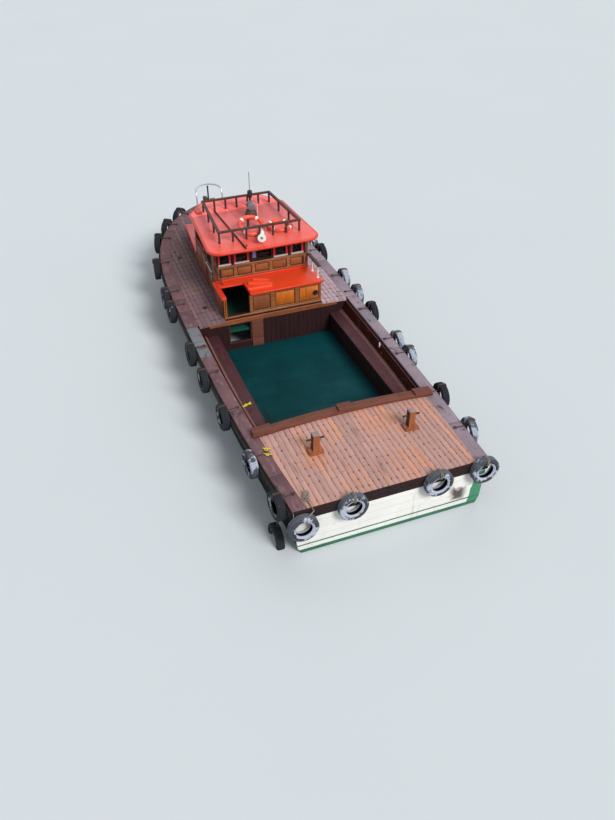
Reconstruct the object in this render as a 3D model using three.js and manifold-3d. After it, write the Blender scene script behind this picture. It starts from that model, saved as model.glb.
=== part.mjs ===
// Wooden supply launch, afloat: an open cargo well amidships, a planked aft deck, and a
// two-level wheelhouse forward. Millimetres. +X is starboard, +Y is towards the bow, +Z is up.
// The origin is on the centreline amidships, at the waterline.
import * as THREE from 'three';
import * as BufferGeometryUtils from 'three/addons/utils/BufferGeometryUtils.js';
import Module from 'manifold-3d';

const wasm = await Module();
wasm.setup();

// Fit between pieces that touch.
const GAP = 0.3;

// Hull form.
const STERN_Y = -6760;
const BOW_Y = 6600;
const WIDEST_Y = -1000;
const HALF_BEAM = 2280;
const STERN_NARROWING = 240;
const SHEER_LOW_Y = -2700;
const SHEER_LOW_Z = 1068;
const SHEER_RISE = 5;
const FLAT_HALF_BEAM = 2120;
const FLAT_STERN_NARROWING = 150;
const WATERLINE_END_Y = 6350;
const TOPSIDE_FOOT_Z = 150;
const STEM_HALF = 60;
const BOTTOM_Z = -650;
const STERN_LIFT = 390;
const BOW_LIFT = 900;
const PLANK = 70;
const DECK = 60;
const ROOF_PLATE = 60;

// Lengthwise places.
const TRANSOM_FACE_Y = -6830;
const AFT_DECK_END_Y = -4300;
const HOUSE_AFT_Y = 160;
const WHEELHOUSE_AFT_Y = 1000;
const SHOULDER_Y = 2900;
const WHEELHOUSE_FRONT_Y = 3600;
const FORE_CABIN_END_Y = 4700;

// Heights.
const CARGO_FLOOR_Z = 220;
const BENCH_Z = 750;
const SOLE_Z = 750;
const HOUSE_SILL_Z = 1130;
const MID_ROOF_Z = 1730;
const ROOF_Z = 2730;
const RAIL_Z = 3030;

// Widths, each from the centreline.
const HOUSE_HALF = 1300;
const WHEELHOUSE_HALF = 1250;
const WALL = 60;
const CAP_WIDTH = 260;
const BENCH_EDGE_X = 1540;

const STATIONS = [
  STERN_Y, -6300, -5700, -5000, AFT_DECK_END_Y, -3600, -2700, -1800, -900, 0, 900, 1700, 2400,
  3000, 3500, 3950, 4350, 4700, 5000, 5300, 5550, 5800, 6000, 6200, 6350, 6450, 6540, BOW_Y,
];

function material(colour, roughness, metalness = 0) {
  return new THREE.MeshStandardMaterial({ color: colour, roughness, metalness });
}

const paint = {
  blackHull: material(0x1d2226, 0.6),
  whitePaint: material(0xdfe3dd, 0.5),
  planks: material(0x9a6a54, 0.8),
  varnish: material(0x7a3f22, 0.45),
  darkWood: material(0x4a2619, 0.6),
  orange: material(0xd9482a, 0.45),
  green: material(0x14564d, 0.6),
  rubber: material(0x1c1c1d, 0.9),
  steel: material(0xb8bcc0, 0.35, 0.9),
  darkIron: material(0x24262a, 0.6, 0.6),
  whitePlastic: material(0xe9e9e6, 0.4),
  ringOrange: material(0xe5522c, 0.5),
  glass: material(0x2b3b40, 0.1),
  brass: material(0xa88a4a, 0.4, 0.9),
  engineGrey: material(0x5c6468, 0.6, 0.3),
};

const launch = new THREE.Group();

// Adds a sub-part to the launch from a solid or a closed geometry.
function addPart(name, shape, finish) {
  const geometry = shape.isBufferGeometry ? shape : toGeometry(shape);
  const mesh = new THREE.Mesh(geometry, finish);
  mesh.name = name;
  launch.add(mesh);
  return mesh;
}

function toSolid(geometry) {
  const bare = geometry.clone();
  bare.deleteAttribute('normal');
  bare.deleteAttribute('uv');
  const merged = BufferGeometryUtils.mergeVertices(bare, 1e-3);
  return new wasm.Manifold(new wasm.Mesh({
    numProp: 3,
    vertProperties: new Float32Array(merged.attributes.position.array),
    triVerts: new Uint32Array(merged.index.array),
  }));
}

function toGeometry(solid) {
  const mesh = solid.getMesh();
  const geometry = new THREE.BufferGeometry();
  geometry.setAttribute('position', new THREE.BufferAttribute(mesh.vertProperties, 3));
  geometry.setIndex(new THREE.BufferAttribute(mesh.triVerts, 1));
  geometry.computeVertexNormals();
  return geometry;
}

function join(solids) {
  return solids.reduce((whole, next) => whole.add(next));
}

function box([x0, x1], [y0, y1], [z0, z1]) {
  const geometry = new THREE.BoxGeometry(x1 - x0, y1 - y0, z1 - z0);
  geometry.translate((x0 + x1) / 2, (y0 + y1) / 2, (z0 + z1) / 2);
  return toSolid(geometry);
}

function mirrored(solid) {
  return solid.mirror([1, 0, 0]);
}

// A round bar between two points, with an end radius of its own if it tapers.
function bar(from, to, radius, sides = 12, endRadius = radius) {
  const start = new THREE.Vector3(...from);
  const end = new THREE.Vector3(...to);
  const span = end.clone().sub(start);
  const geometry = new THREE.CylinderGeometry(endRadius, radius, span.length(), sides);
  geometry.translate(0, span.length() / 2, 0);
  const turn = new THREE.Quaternion().setFromUnitVectors(
    new THREE.Vector3(0, 1, 0), span.normalize(),
  );
  geometry.applyQuaternion(turn);
  geometry.translate(start.x, start.y, start.z);
  return toSolid(geometry);
}

// A solid through equal rings of [x, y, z] points, closed by a flat face at each end. Seen from
// astern each ring runs anticlockwise, and the rings follow one another forwards.
function loft(rings) {
  const count = rings[0].length;
  const index = [];
  for (let r = 0; r + 1 < rings.length; r += 1) {
    for (let i = 0; i < count; i += 1) {
      const a = r * count + i;
      const b = r * count + ((i + 1) % count);
      index.push(a, b + count, b, a, a + count, b + count);
    }
  }
  const last = (rings.length - 1) * count;
  const capOf = (ring) => THREE.ShapeUtils.triangulateShape(
    ring.map(([x, , z]) => new THREE.Vector2(x, z)), [],
  );
  capOf(rings[0]).forEach(([a, b, c]) => index.push(a, b, c));
  capOf(rings.at(-1)).forEach(([a, b, c]) => index.push(last + c, last + b, last + a));
  const geometry = new THREE.BufferGeometry();
  geometry.setAttribute('position', new THREE.Float32BufferAttribute(rings.flat(2), 3));
  geometry.setIndex(index);
  return toSolid(geometry);
}

// A flat outline of [a, b] points made into a plate; place() turns (a, b, depth) into x, y, z.
function plate(outline, depth, place) {
  const shape = new THREE.Shape(outline.map(([a, b]) => new THREE.Vector2(a, b)));
  const geometry = new THREE.ExtrudeGeometry(shape, { depth, bevelEnabled: false });
  geometry.applyMatrix4(place);
  return toSolid(geometry);
}

// Lays an outline drawn in x, y flat at a height.
const flatAt = (z) => new THREE.Matrix4().makeTranslation(0, 0, z);

// Stands an outline drawn in y, z upright, its thickness along x from x0.
function uprightAt(x0) {
  const turn = new THREE.Matrix4().makeBasis(
    new THREE.Vector3(0, 1, 0), new THREE.Vector3(0, 0, 1), new THREE.Vector3(1, 0, 0),
  );
  return turn.premultiply(new THREE.Matrix4().makeTranslation(x0, 0, 0));
}

function arc(centreX, centreY, radius, fromDeg, toDeg, steps) {
  return Array.from({ length: steps + 1 }, (_, i) => {
    const angle = THREE.MathUtils.degToRad(fromDeg + ((toDeg - fromDeg) * i) / steps);
    return [centreX + radius * Math.cos(angle), centreY + radius * Math.sin(angle)];
  });
}

// A value that runs straight from station to station, as the planks and decks do.
function alongStations(formula) {
  const values = STATIONS.map(formula);
  return (y) => {
    let i = 0;
    while (i + 2 < STATIONS.length && y > STATIONS[i + 1]) {
      i += 1;
    }
    const share = (y - STATIONS[i]) / (STATIONS[i + 1] - STATIONS[i]);
    return values[i] + (values[i + 1] - values[i]) * share;
  };
}

function stationsFrom(y0, y1) {
  return [y0, ...STATIONS.filter((y) => y > y0 + 1 && y < y1 - 1), y1];
}

const sheer = alongStations((y) => SHEER_LOW_Z + SHEER_RISE * ((y - SHEER_LOW_Y) / 1000) ** 2);

const halfBeam = alongStations((y) => {
  if (y < WIDEST_Y) {
    const aft = (WIDEST_Y - y) / (WIDEST_Y - STERN_Y);
    return HALF_BEAM - STERN_NARROWING * aft ** 2;
  }
  const along = Math.min((y - WIDEST_Y) / (BOW_Y + 50 - WIDEST_Y), 1);
  return Math.max(HALF_BEAM * (1 - along ** 4.8) ** 0.74, STEM_HALF);
});

const halfBreadthLow = alongStations((y) => {
  if (y < WIDEST_Y) {
    const aft = (WIDEST_Y - y) / (WIDEST_Y - STERN_Y);
    return FLAT_HALF_BEAM - FLAT_STERN_NARROWING * aft ** 2;
  }
  const along = Math.min((y - WIDEST_Y) / (WATERLINE_END_Y - WIDEST_Y), 1);
  return Math.max(FLAT_HALF_BEAM * (1 - along ** 3) ** 0.9, STEM_HALF);
});

const bottom = alongStations((y) => (y < 0
  ? BOTTOM_Z + STERN_LIFT * (y / STERN_Y) ** 2
  : BOTTOM_Z + BOW_LIFT * (y / WATERLINE_END_Y) ** 5));

// One half of a hull section, keel to deck edge, set in from the outside by some thickness.
function halfSection(y, inset, topZ) {
  const low = Math.max(halfBreadthLow(y) - inset, 5);
  const high = Math.max(halfBeam(y) - inset, 5);
  const keelZ = bottom(y) + inset * 1.3;
  const footZ = Math.max(TOPSIDE_FOOT_Z, keelZ + 20);
  const points = [];
  for (const degrees of [0, 14, 28, 42, 56, 72, 90]) {
    const angle = THREE.MathUtils.degToRad(degrees);
    points.push([
      low * Math.sin(angle) ** 0.75,
      footZ - (footZ - keelZ) * Math.max(Math.cos(angle), 0) ** 0.85,
    ]);
  }
  const rise = (topZ - footZ) / (sheer(y) - footZ);
  points.push([low + (high - low) * rise, topZ]);
  return points;
}

// A whole hull shape between two stations: a starboard half joined to its mirror image.
function hullBody(y0, y1, inset, top) {
  const starboard = loft(stationsFrom(y0, y1).map((y) => {
    const curve = halfSection(y, inset, top(y)).map(([x, z]) => [x, y, z]);
    return [...curve, [0, y, top(y)]];
  }));
  return starboard.add(mirrored(starboard));
}

const underDeck = (y) => sheer(y) - DECK - GAP;

// The room inside the planking; pieces that fit between the sides are cut to it.
const roomTop = (y) => sheer(y) + 60;
const insideRoom = hullBody(STERN_Y - 40, 6400, PLANK + GAP, roomTop);

function fittedInside(solid) {
  return solid.intersect(insideRoom);
}

// A level strip along the side of the deck, between two distances from the centreline.
function deckStrip(y0, y1, inner, outer, thickness, topOf) {
  return loft(stationsFrom(y0, y1).map((y) => [
    [inner(y), y, topOf(y) - thickness],
    [outer(y), y, topOf(y) - thickness],
    [outer(y), y, topOf(y)],
    [inner(y), y, topOf(y)],
  ]));
}

// A deck plate whose middle stands higher than its sides.
const CROSS_STEPS = 6;

function crownedHeights(half, crown) {
  return Array.from({ length: CROSS_STEPS + 1 }, (_, i) => {
    const share = (2 * i) / CROSS_STEPS - 1;
    return [half * share, crown * (1 - share * share)];
  });
}

function crownedPlate(y0, y1, half, crown, bottomOf, topOf) {
  return loft(stationsFrom(y0, y1).map((y) => {
    const across = crownedHeights(half(y), crown(y));
    const under = across.map(([x, lift]) => [x, y, bottomOf(y, lift)]);
    const over = across.map(([x, lift]) => [x, y, topOf(y) + lift]).reverse();
    return [...under, ...over];
  }));
}

// Hull, its backbone and the stern.
const openRoom = hullBody(STERN_Y - 40, 6400, PLANK, roomTop);
const RUDDER_Y = -6420;
const RUDDER_HOLE = 42;
const SHAFT_RADIUS = 30;
const PROPELLER = { y: -5640, z: -780, hubHalf: 60 };
const ENGINE = { half: 330, y: [250, 1500], top: 560 };
const SHAFT_FORE = [0, ENGINE.y[0] - 3.2, -235];
const SHAFT_AFT = [0, PROPELLER.y - 90, PROPELLER.z];
const shaftHole = bar(SHAFT_FORE, SHAFT_AFT, SHAFT_RADIUS + 6, 16);

function makeHull() {
  const planking = hullBody(STERN_Y, BOW_Y, 0, underDeck).subtract(openRoom);
  const rudderHole = bar([0, RUDDER_Y, -700], [0, RUDDER_Y, 0], RUDDER_HOLE, 16);
  return planking.subtract(rudderHole).subtract(shaftHole);
}

const KEEL_HALF = 60;
const KEEL_FORE_Y = 5200;
const POST_Y = -5330;
const SHOE_END_Y = -6520;
const SHOE_Z = [-1130, -1080];

function makeKeel() {
  const upper = stationsFrom(POST_Y, KEEL_FORE_Y).map((y) => [y, bottom(y) - GAP]);
  const lower = [
    [KEEL_FORE_Y, -470], [4200, -760], [SHOE_END_Y, SHOE_Z[0]], [SHOE_END_Y, SHOE_Z[1]],
    [POST_Y, SHOE_Z[1]],
  ];
  const turned = uprightAt(-KEEL_HALF);
  return plate([...upper, ...lower], 2 * KEEL_HALF, turned).subtract(shaftHole);
}

function makeStem() {
  const inner = stationsFrom(KEEL_FORE_Y + GAP, BOW_Y).map((y) => [y, bottom(y) - GAP]);
  const face = BOW_Y + 20 + GAP;
  const outer = [
    [face, bottom(BOW_Y)], [face, 1640], [6800, 1650], [6790, 1200], [6760, 800],
    [6690, 440], [6470, 130], [6200, -60], [5790, -260], [KEEL_FORE_Y + GAP, -470],
  ];
  return plate([...inner, ...outer], 2 * KEEL_HALF, uprightAt(-KEEL_HALF));
}

function makeTransom() {
  const outline = halfSection(STERN_Y, 0, underDeck(STERN_Y));
  const ring = (y) => [...outline.map(([x, z]) => [x, y, z]), [0, y, underDeck(STERN_Y)]];
  const starboard = loft([ring(TRANSOM_FACE_Y), ring(STERN_Y - GAP)]);
  return starboard.add(mirrored(starboard));
}

function makeTransomHeader() {
  const half = halfBeam(STERN_Y);
  const back = TRANSOM_FACE_Y - GAP;
  return box([-half, half], [back - 45, back], [920, sheer(STERN_Y)]);
}

addPart('hull', makeHull(), paint.blackHull);
addPart('keel', makeKeel(), paint.darkWood);
addPart('stem', makeStem(), paint.darkWood);
addPart('transom', makeTransom(), paint.whitePaint);
addPart('transom_header', makeTransomHeader(), paint.darkWood);

// Decks.
const AFT_CROWN = 100;
const FORE_CROWN = 60;
const FORE_CROWN_HALF = 1200;
const FORE_DECK_END_Y = 6540;
const COVERING_WIDTH = 300;
const CAP_OVERHANG = 20;
const FORE_CABIN_FRONT_HALF = 1090;

// The outline of the house on deck, grown by a clearance; drawn for starboard and mirrored.
function housePlan(grow) {
  const starboard = [
    [HOUSE_HALF + grow, -200], [HOUSE_HALF + grow, WHEELHOUSE_AFT_Y + grow],
    [WHEELHOUSE_HALF + grow, WHEELHOUSE_AFT_Y + grow], [WHEELHOUSE_HALF + grow, SHOULDER_Y],
    [FORE_CABIN_FRONT_HALF + grow, FORE_CABIN_END_Y + grow],
  ];
  const port = starboard.map(([x, y]) => [-x, y]).reverse();
  return [...starboard, ...port];
}

const aftCrown = (y) => (AFT_CROWN * (y - TRANSOM_FACE_Y)) / (AFT_DECK_END_Y - TRANSOM_FACE_Y);
const aftHalf = (y) => halfBeam(y) - CAP_WIDTH - GAP;
const foreHalf = (y) => halfBeam(y) - COVERING_WIDTH - GAP;
const foreCrown = (y) => FORE_CROWN * Math.min(foreHalf(y) / FORE_CROWN_HALF, 1);

function makeAftDeck() {
  const under = (y, lift) => sheer(y) + lift - DECK;
  return crownedPlate(TRANSOM_FACE_Y, AFT_DECK_END_Y, aftHalf, aftCrown, under, sheer);
}

function makeForeDeck() {
  const under = (y, lift) => sheer(y) + lift - DECK;
  const whole = crownedPlate(60, FORE_DECK_END_Y, foreHalf, foreCrown, under, sheer);
  const opening = plate(housePlan(GAP), 1200, flatAt(600));
  return whole.subtract(opening);
}

function makeCap() {
  const inner = (y) => halfBeam(y) - CAP_WIDTH;
  const outer = (y) => halfBeam(y) + CAP_OVERHANG;
  return deckStrip(TRANSOM_FACE_Y, HOUSE_AFT_Y, inner, outer, DECK, sheer);
}

function makeCoveringBoard() {
  const inner = (y) => Math.max(halfBeam(y) - COVERING_WIDTH, GAP);
  const outer = (y) => halfBeam(y) + CAP_OVERHANG;
  return deckStrip(HOUSE_AFT_Y + GAP, BOW_Y + 20, inner, outer, DECK, sheer);
}

const aftDeck = makeAftDeck();
const foreDeck = makeForeDeck();
const starboardCap = makeCap();
addPart('aft_deck', aftDeck, paint.planks);
addPart('fore_deck', foreDeck, paint.planks);
addPart('starboard_gunwale_cap', starboardCap, paint.varnish);
addPart('port_gunwale_cap', mirrored(starboardCap), paint.varnish);
addPart('starboard_covering_board', makeCoveringBoard(), paint.varnish);
addPart('port_covering_board', mirrored(makeCoveringBoard()), paint.varnish);

// Cargo well.
const WELL_WALL = 60;

function makeCargoFloor() {
  const half = BENCH_EDGE_X - GAP;
  const ends = [AFT_DECK_END_Y + GAP, HOUSE_AFT_Y - WELL_WALL - GAP];
  return box([-half, half], ends, [CARGO_FLOOR_Z - 50, CARGO_FLOOR_Z]);
}

function makeBench() {
  const ends = [AFT_DECK_END_Y + GAP, HOUSE_AFT_Y - WELL_WALL - GAP];
  return fittedInside(box([BENCH_EDGE_X, 2400], ends, [120, BENCH_Z]));
}

function makeAftBulkhead() {
  const faces = [AFT_DECK_END_Y - WELL_WALL, AFT_DECK_END_Y];
  const foot = () => CARGO_FLOOR_Z - 60;
  const intoDeck = (y) => sheer(y) - DECK / 2;
  const panel = crownedPlate(faces[0], faces[1], aftHalf, aftCrown, foot, intoDeck);
  return fittedInside(panel).subtract(aftDeck.translate([0, 0, -GAP]));
}

const PASSAGE = { x: [-1200, -660], z: [440, 1000] };

function makeForwardBulkhead() {
  const faces = [HOUSE_AFT_Y - WELL_WALL, HOUSE_AFT_Y];
  const low = fittedInside(box([-2400, 2400], faces, [CARGO_FLOOR_Z - 60, 1040]));
  const high = box([-HOUSE_HALF, HOUSE_HALF], faces, [1030, HOUSE_SILL_Z]);
  return low.add(high).subtract(box(PASSAGE.x, [0, 400], PASSAGE.z));
}

addPart('cargo_floor', makeCargoFloor(), paint.green);
addPart('starboard_bench', makeBench(), paint.varnish);
addPart('port_bench', mirrored(makeBench()), paint.varnish);
addPart('aft_bulkhead', makeAftBulkhead(), paint.varnish);
addPart('forward_bulkhead', makeForwardBulkhead(), paint.varnish);

// Coaming and bitts on the aft deck.
const COAMING = { width: 220, height: 70, block: 50 };
const COAMING_BLOCKS = [[-2050, -1640], [-160, 160], [1640, 2050]];

// The coaming is a rib across the deck's forward edge, let down onto the deck and the caps.
function coamingRib(height) {
  const y0 = AFT_DECK_END_Y - COAMING.width;
  return loft([y0, AFT_DECK_END_Y].map((y) => {
    const xs = [-2060, ...crownedHeights(aftHalf(y), 0).map(([x]) => x), 2060];
    const under = xs.map((x) => [x, y, deckChord(x, y) - DECK / 2]);
    const over = xs.map((x) => [x, y, deckChord(x, y) + height]).reverse();
    return [...under, ...over];
  }));
}

function makeCoaming() {
  const ys = [AFT_DECK_END_Y - COAMING.width, AFT_DECK_END_Y];
  const blocks = COAMING_BLOCKS.map((span) => box(span, ys, [900, 1600]));
  const raised = coamingRib(COAMING.height + COAMING.block).intersect(join(blocks));
  const capSeat = deckStrip(
    ys[0] - 50, ys[1] + 50, (y) => aftHalf(y) - 3, (y) => halfBeam(y) + 50, DECK,
    (y) => sheer(y) + GAP,
  );
  const seats = [aftDeck.translate([0, 0, GAP]), capSeat, mirrored(capSeat)];
  return coamingRib(COAMING.height).add(raised).subtract(join(seats));
}

// The height of the aft deck's faceted top.
function deckChord(x, y) {
  const half = aftHalf(y);
  const steps = crownedHeights(half, aftCrown(y));
  if (Math.abs(x) >= half) {
    return sheer(y);
  }
  const i = Math.min(Math.floor(((x + half) / (2 * half)) * CROSS_STEPS), CROSS_STEPS - 1);
  const share = (x - steps[i][0]) / (steps[i + 1][0] - steps[i][0]);
  return sheer(y) + steps[i][1] + (steps[i + 1][1] - steps[i][1]) * share;
}

const BITT = {
  x: 1050, y: -5400, side: 140, height: 450, base: [300, 240], baseHeight: 60,
  pinHeight: 330, pinReach: 190,
};

function makeBitt() {
  const [width, length] = BITT.base;
  const half = BITT.side / 2;
  const deckZ = deckChord(BITT.x, BITT.y);
  const sunkZ = deckZ - DECK / 3;
  const post = box(
    [BITT.x - half, BITT.x + half], [BITT.y - half, BITT.y + half], [sunkZ, deckZ + BITT.height],
  );
  const base = box(
    [BITT.x - width / 2, BITT.x + width / 2], [BITT.y - length / 2, BITT.y + length / 2],
    [sunkZ, deckZ + BITT.baseHeight],
  );
  const pinZ = deckZ + BITT.pinHeight;
  const pin = bar([BITT.x - BITT.pinReach, BITT.y, pinZ], [BITT.x + BITT.pinReach, BITT.y, pinZ], 22);
  return join([post, base, pin]).subtract(aftDeck.translate([0, 0, GAP]));
}

addPart('aft_deck_coaming', makeCoaming(), paint.varnish);
addPart('starboard_bitt', makeBitt(), paint.varnish);
addPart('port_bitt', mirrored(makeBitt()), paint.varnish);

// Lower house: the part between the cargo well and the wheelhouse.
const DOORWAY = { x: [-1220, -640], sillZ: 1180 };
const HATCHWAY_FRONT_Y = 720;
const MID_ROOF_HALF = 1350;

// The doorway's leaf slides on a runner, to starboard behind the panelled wall.
const SLIDE = { open: 60, thickness: 30, clear: 6, footZ: 1160 };

const underMidRoof = MID_ROOF_Z - ROOF_PLATE - GAP;

function makeLowerAftWall() {
  const wall = box(
    [-HOUSE_HALF, HOUSE_HALF], [HOUSE_AFT_Y, HOUSE_AFT_Y + WALL], [HOUSE_SILL_Z + GAP, underMidRoof],
  );
  const runnerYs = [HOUSE_AFT_Y + WALL - 5, HOUSE_AFT_Y + WALL + SLIDE.clear + SLIDE.thickness + 6];
  const runnerXs = [-HOUSE_HALF + WALL + GAP, SLIDE.open];
  const runner = box(runnerXs, runnerYs, [HOUSE_SILL_Z + GAP, SLIDE.footZ - GAP]);
  return wall.subtract(box(DOORWAY.x, [0, 400], [DOORWAY.sillZ, MID_ROOF_Z])).add(runner);
}

function makeLowerSideWall() {
  return box(
    [HOUSE_HALF - WALL, HOUSE_HALF],
    [HOUSE_AFT_Y + WALL + GAP, WHEELHOUSE_AFT_Y - GAP],
    [SOLE_Z + GAP, underMidRoof],
  );
}

function makeMidRoof() {
  const ys = [HOUSE_AFT_Y - 50, WHEELHOUSE_AFT_Y - GAP];
  const slab = box([-MID_ROOF_HALF, MID_ROOF_HALF], ys, [MID_ROOF_Z - ROOF_PLATE, MID_ROOF_Z]);
  return slab.subtract(box([DOORWAY.x[0], DOORWAY.x[1] + 30], [0, HATCHWAY_FRONT_Y], [1500, 1900]));
}

function makeCompanionDoor() {
  const width = DOORWAY.x[1] - DOORWAY.x[0];
  const x0 = DOORWAY.x[1] + SLIDE.open;
  const y0 = HOUSE_AFT_Y + WALL + SLIDE.clear;
  return box([x0, x0 + width], [y0, y0 + SLIDE.thickness], [SLIDE.footZ, underMidRoof - 8]);
}

addPart('lower_house_aft_wall', makeLowerAftWall(), paint.varnish);
addPart('lower_house_starboard_wall', makeLowerSideWall(), paint.varnish);
addPart('lower_house_port_wall', mirrored(makeLowerSideWall()), paint.varnish);
addPart('mid_roof', makeMidRoof(), paint.orange);
addPart('companion_door', makeCompanionDoor(), paint.varnish);

// Wheelhouse.
const underRoof = ROOF_Z - ROOF_PLATE - GAP;
const PANE = 8;
const WINDOW_Z = [2190, 2500];
const AFT_WINDOWS = [[-1120, -860], [-700, -380], [-110, 260], [350, 660], [820, 1090]];
const SIDE_WINDOW_Y = [1980, 2780];
const SIDE_DOORWAY = { y: [1200, 1800], z: [1290, 2500] };
const HINGE = {
  x: WHEELHOUSE_HALF + 12, y: SIDE_DOORWAY.y[1] - 3, z: [1450, 2330], radius: 10, pintle: 35,
  knuckle: 60, strap: 60, plate: 4,
};

function makeAftWheelhouseWall() {
  const half = WHEELHOUSE_HALF - WALL - GAP;
  const ys = [WHEELHOUSE_AFT_Y, WHEELHOUSE_AFT_Y + WALL];
  const wall = box([-half, half], ys, [MID_ROOF_Z - ROOF_PLATE, underRoof]);
  const cuts = AFT_WINDOWS.map((xs) => box(xs, [900, 1200], WINDOW_Z));
  return wall.subtract(join(cuts));
}

// Half of a side door's hinge: a round barrel and the strap that fastens it.
function hingeHalf(z0, z1, side) {
  const barrel = bar([HINGE.x, HINGE.y, z0], [HINGE.x, HINGE.y, z1], HINGE.radius, 12);
  const ys = side < 0 ? [HINGE.y - HINGE.strap, HINGE.y] : [HINGE.y + 6, HINGE.y + HINGE.strap];
  const strap = box([WHEELHOUSE_HALF - 2, WHEELHOUSE_HALF + HINGE.plate], ys, [z0, z1]);
  const root = box([WHEELHOUSE_HALF + 1, HINGE.x], [HINGE.y - 3, HINGE.y + 8], [z0, z1]);
  return join(side < 0 ? [barrel, strap] : [barrel, strap, root]);
}

function makeSideWheelhouseWall() {
  const xs = [WHEELHOUSE_HALF - WALL, WHEELHOUSE_HALF];
  const wall = box(xs, [WHEELHOUSE_AFT_Y, SHOULDER_Y], [SOLE_Z + GAP, underRoof]);
  const through = [1000, 1500];
  const cuts = [box(through, SIDE_WINDOW_Y, WINDOW_Z), box(through, SIDE_DOORWAY.y, SIDE_DOORWAY.z)];
  const pintles = HINGE.z.map((z) => hingeHalf(z - HINGE.pintle, z, 1));
  return join([wall.subtract(join(cuts)), ...pintles]);
}

// The front stands on the fore cabin's roof and has three faces.
const FRONT_HALF = 700;
const FRONT_WINDOWS = [[-590, -230], [-180, 180], [230, 590]];

function frontPlan(inset) {
  const half = WHEELHOUSE_HALF - inset * 1.1;
  const corner = FRONT_HALF - inset * 0.6;
  const front = WHEELHOUSE_FRONT_Y - inset;
  return [[half, SHOULDER_Y + GAP], [corner, front], [-corner, front], [-half, SHOULDER_Y + GAP]];
}

function makeFrontWheelhouseWall() {
  const outline = [...frontPlan(0), ...frontPlan(WALL).reverse()];
  const height = underRoof - MID_ROOF_Z - GAP;
  const wall = plate(outline, height, flatAt(MID_ROOF_Z + GAP));
  const cuts = FRONT_WINDOWS.map((xs) => box(xs, [3400, 3800], WINDOW_Z));
  const middle = [(WHEELHOUSE_HALF + FRONT_HALF) / 2, (SHOULDER_Y + WHEELHOUSE_FRONT_Y) / 2];
  const slope = Math.atan2(WHEELHOUSE_FRONT_Y - SHOULDER_Y, FRONT_HALF - WHEELHOUSE_HALF);
  const opening = new THREE.BoxGeometry(480, 400, WINDOW_Z[1] - WINDOW_Z[0]);
  opening.rotateZ(slope);
  opening.translate(middle[0], middle[1], (WINDOW_Z[0] + WINDOW_Z[1]) / 2);
  const corner = toSolid(opening);
  return wall.subtract(join([...cuts, corner, mirrored(corner)]));
}

function makeForeCabinWalls() {
  const inset = WALL;
  const outer = [
    [WHEELHOUSE_HALF, SHOULDER_Y + GAP], [FORE_CABIN_FRONT_HALF, FORE_CABIN_END_Y],
    [-FORE_CABIN_FRONT_HALF, FORE_CABIN_END_Y], [-WHEELHOUSE_HALF, SHOULDER_Y + GAP],
  ];
  const inner = [
    [-WHEELHOUSE_HALF + inset, SHOULDER_Y + GAP],
    [-FORE_CABIN_FRONT_HALF + inset, FORE_CABIN_END_Y - inset],
    [FORE_CABIN_FRONT_HALF - inset, FORE_CABIN_END_Y - inset],
    [WHEELHOUSE_HALF - inset, SHOULDER_Y + GAP],
  ];
  const height = underMidRoof - SOLE_Z - GAP;
  return plate([...outer, ...inner], height, flatAt(SOLE_Z + GAP));
}

function makeForeCabinRoof() {
  const lip = 40;
  const back = SHOULDER_Y + GAP;
  const front = FORE_CABIN_END_Y + lip;
  const outline = [
    [-WHEELHOUSE_HALF - lip, back], [WHEELHOUSE_HALF + lip, back],
    [FORE_CABIN_FRONT_HALF + lip, front], [-FORE_CABIN_FRONT_HALF - lip, front],
  ];
  return plate(outline, ROOF_PLATE, flatAt(MID_ROOF_Z - ROOF_PLATE));
}

const ROOF_AFT = { y: 500, half: 1460, radius: 330, bow: 30 };
const ROOF_SHOULDER = { half: 1330, y: 3080 };
const ROOF_FRONT = { half: 800, y: 3800 };

function makeRoof() {
  const { y, half, radius, bow } = ROOF_AFT;
  const corner = arc(half - radius, y + radius, radius, -90, -5, 6);
  const starboard = [
    [0, y - bow], ...corner, [ROOF_SHOULDER.half, ROOF_SHOULDER.y], [ROOF_FRONT.half, ROOF_FRONT.y],
  ];
  const port = starboard.slice(1).map(([x, edgeY]) => [-x, edgeY]).reverse();
  return plate([...starboard, ...port], ROOF_PLATE + 10, flatAt(ROOF_Z - ROOF_PLATE));
}

const roofTop = ROOF_Z + 10;

function makeSole() {
  const ys = [HOUSE_AFT_Y + GAP, FORE_CABIN_END_Y];
  return fittedInside(box([-2400, 2400], ys, [SOLE_Z - 50, SOLE_Z]));
}

addPart('wheelhouse_sole', makeSole(), paint.planks);
addPart('wheelhouse_aft_wall', makeAftWheelhouseWall(), paint.varnish);
addPart('wheelhouse_starboard_wall', makeSideWheelhouseWall(), paint.varnish);
addPart('wheelhouse_port_wall', mirrored(makeSideWheelhouseWall()), paint.varnish);
addPart('wheelhouse_front_wall', makeFrontWheelhouseWall(), paint.varnish);
addPart('fore_cabin_walls', makeForeCabinWalls(), paint.varnish);
addPart('fore_cabin_roof', makeForeCabinRoof(), paint.orange);
addPart('wheelhouse_roof', makeRoof(), paint.orange);

// Each wall's panes are one sheet of glass behind its windows.
function makeAftGlass() {
  const y = WHEELHOUSE_AFT_Y + WALL + GAP;
  return box([-1150, 1150], [y, y + PANE], [WINDOW_Z[0] - 30, WINDOW_Z[1] + 30]);
}

function makeFrontGlass() {
  const outer = frontPlan(WALL + GAP);
  const inner = frontPlan(WALL + GAP + PANE).reverse();
  const height = WINDOW_Z[1] - WINDOW_Z[0] + 60;
  return plate([...outer, ...inner], height, flatAt(WINDOW_Z[0] - 30));
}

function makeSideGlass() {
  const x = WHEELHOUSE_HALF - WALL - GAP;
  const ys = [SIDE_WINDOW_Y[0] - 30, SIDE_WINDOW_Y[1] + 30];
  return box([x - PANE, x], ys, [WINDOW_Z[0] - 30, WINDOW_Z[1] + 30]);
}

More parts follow.
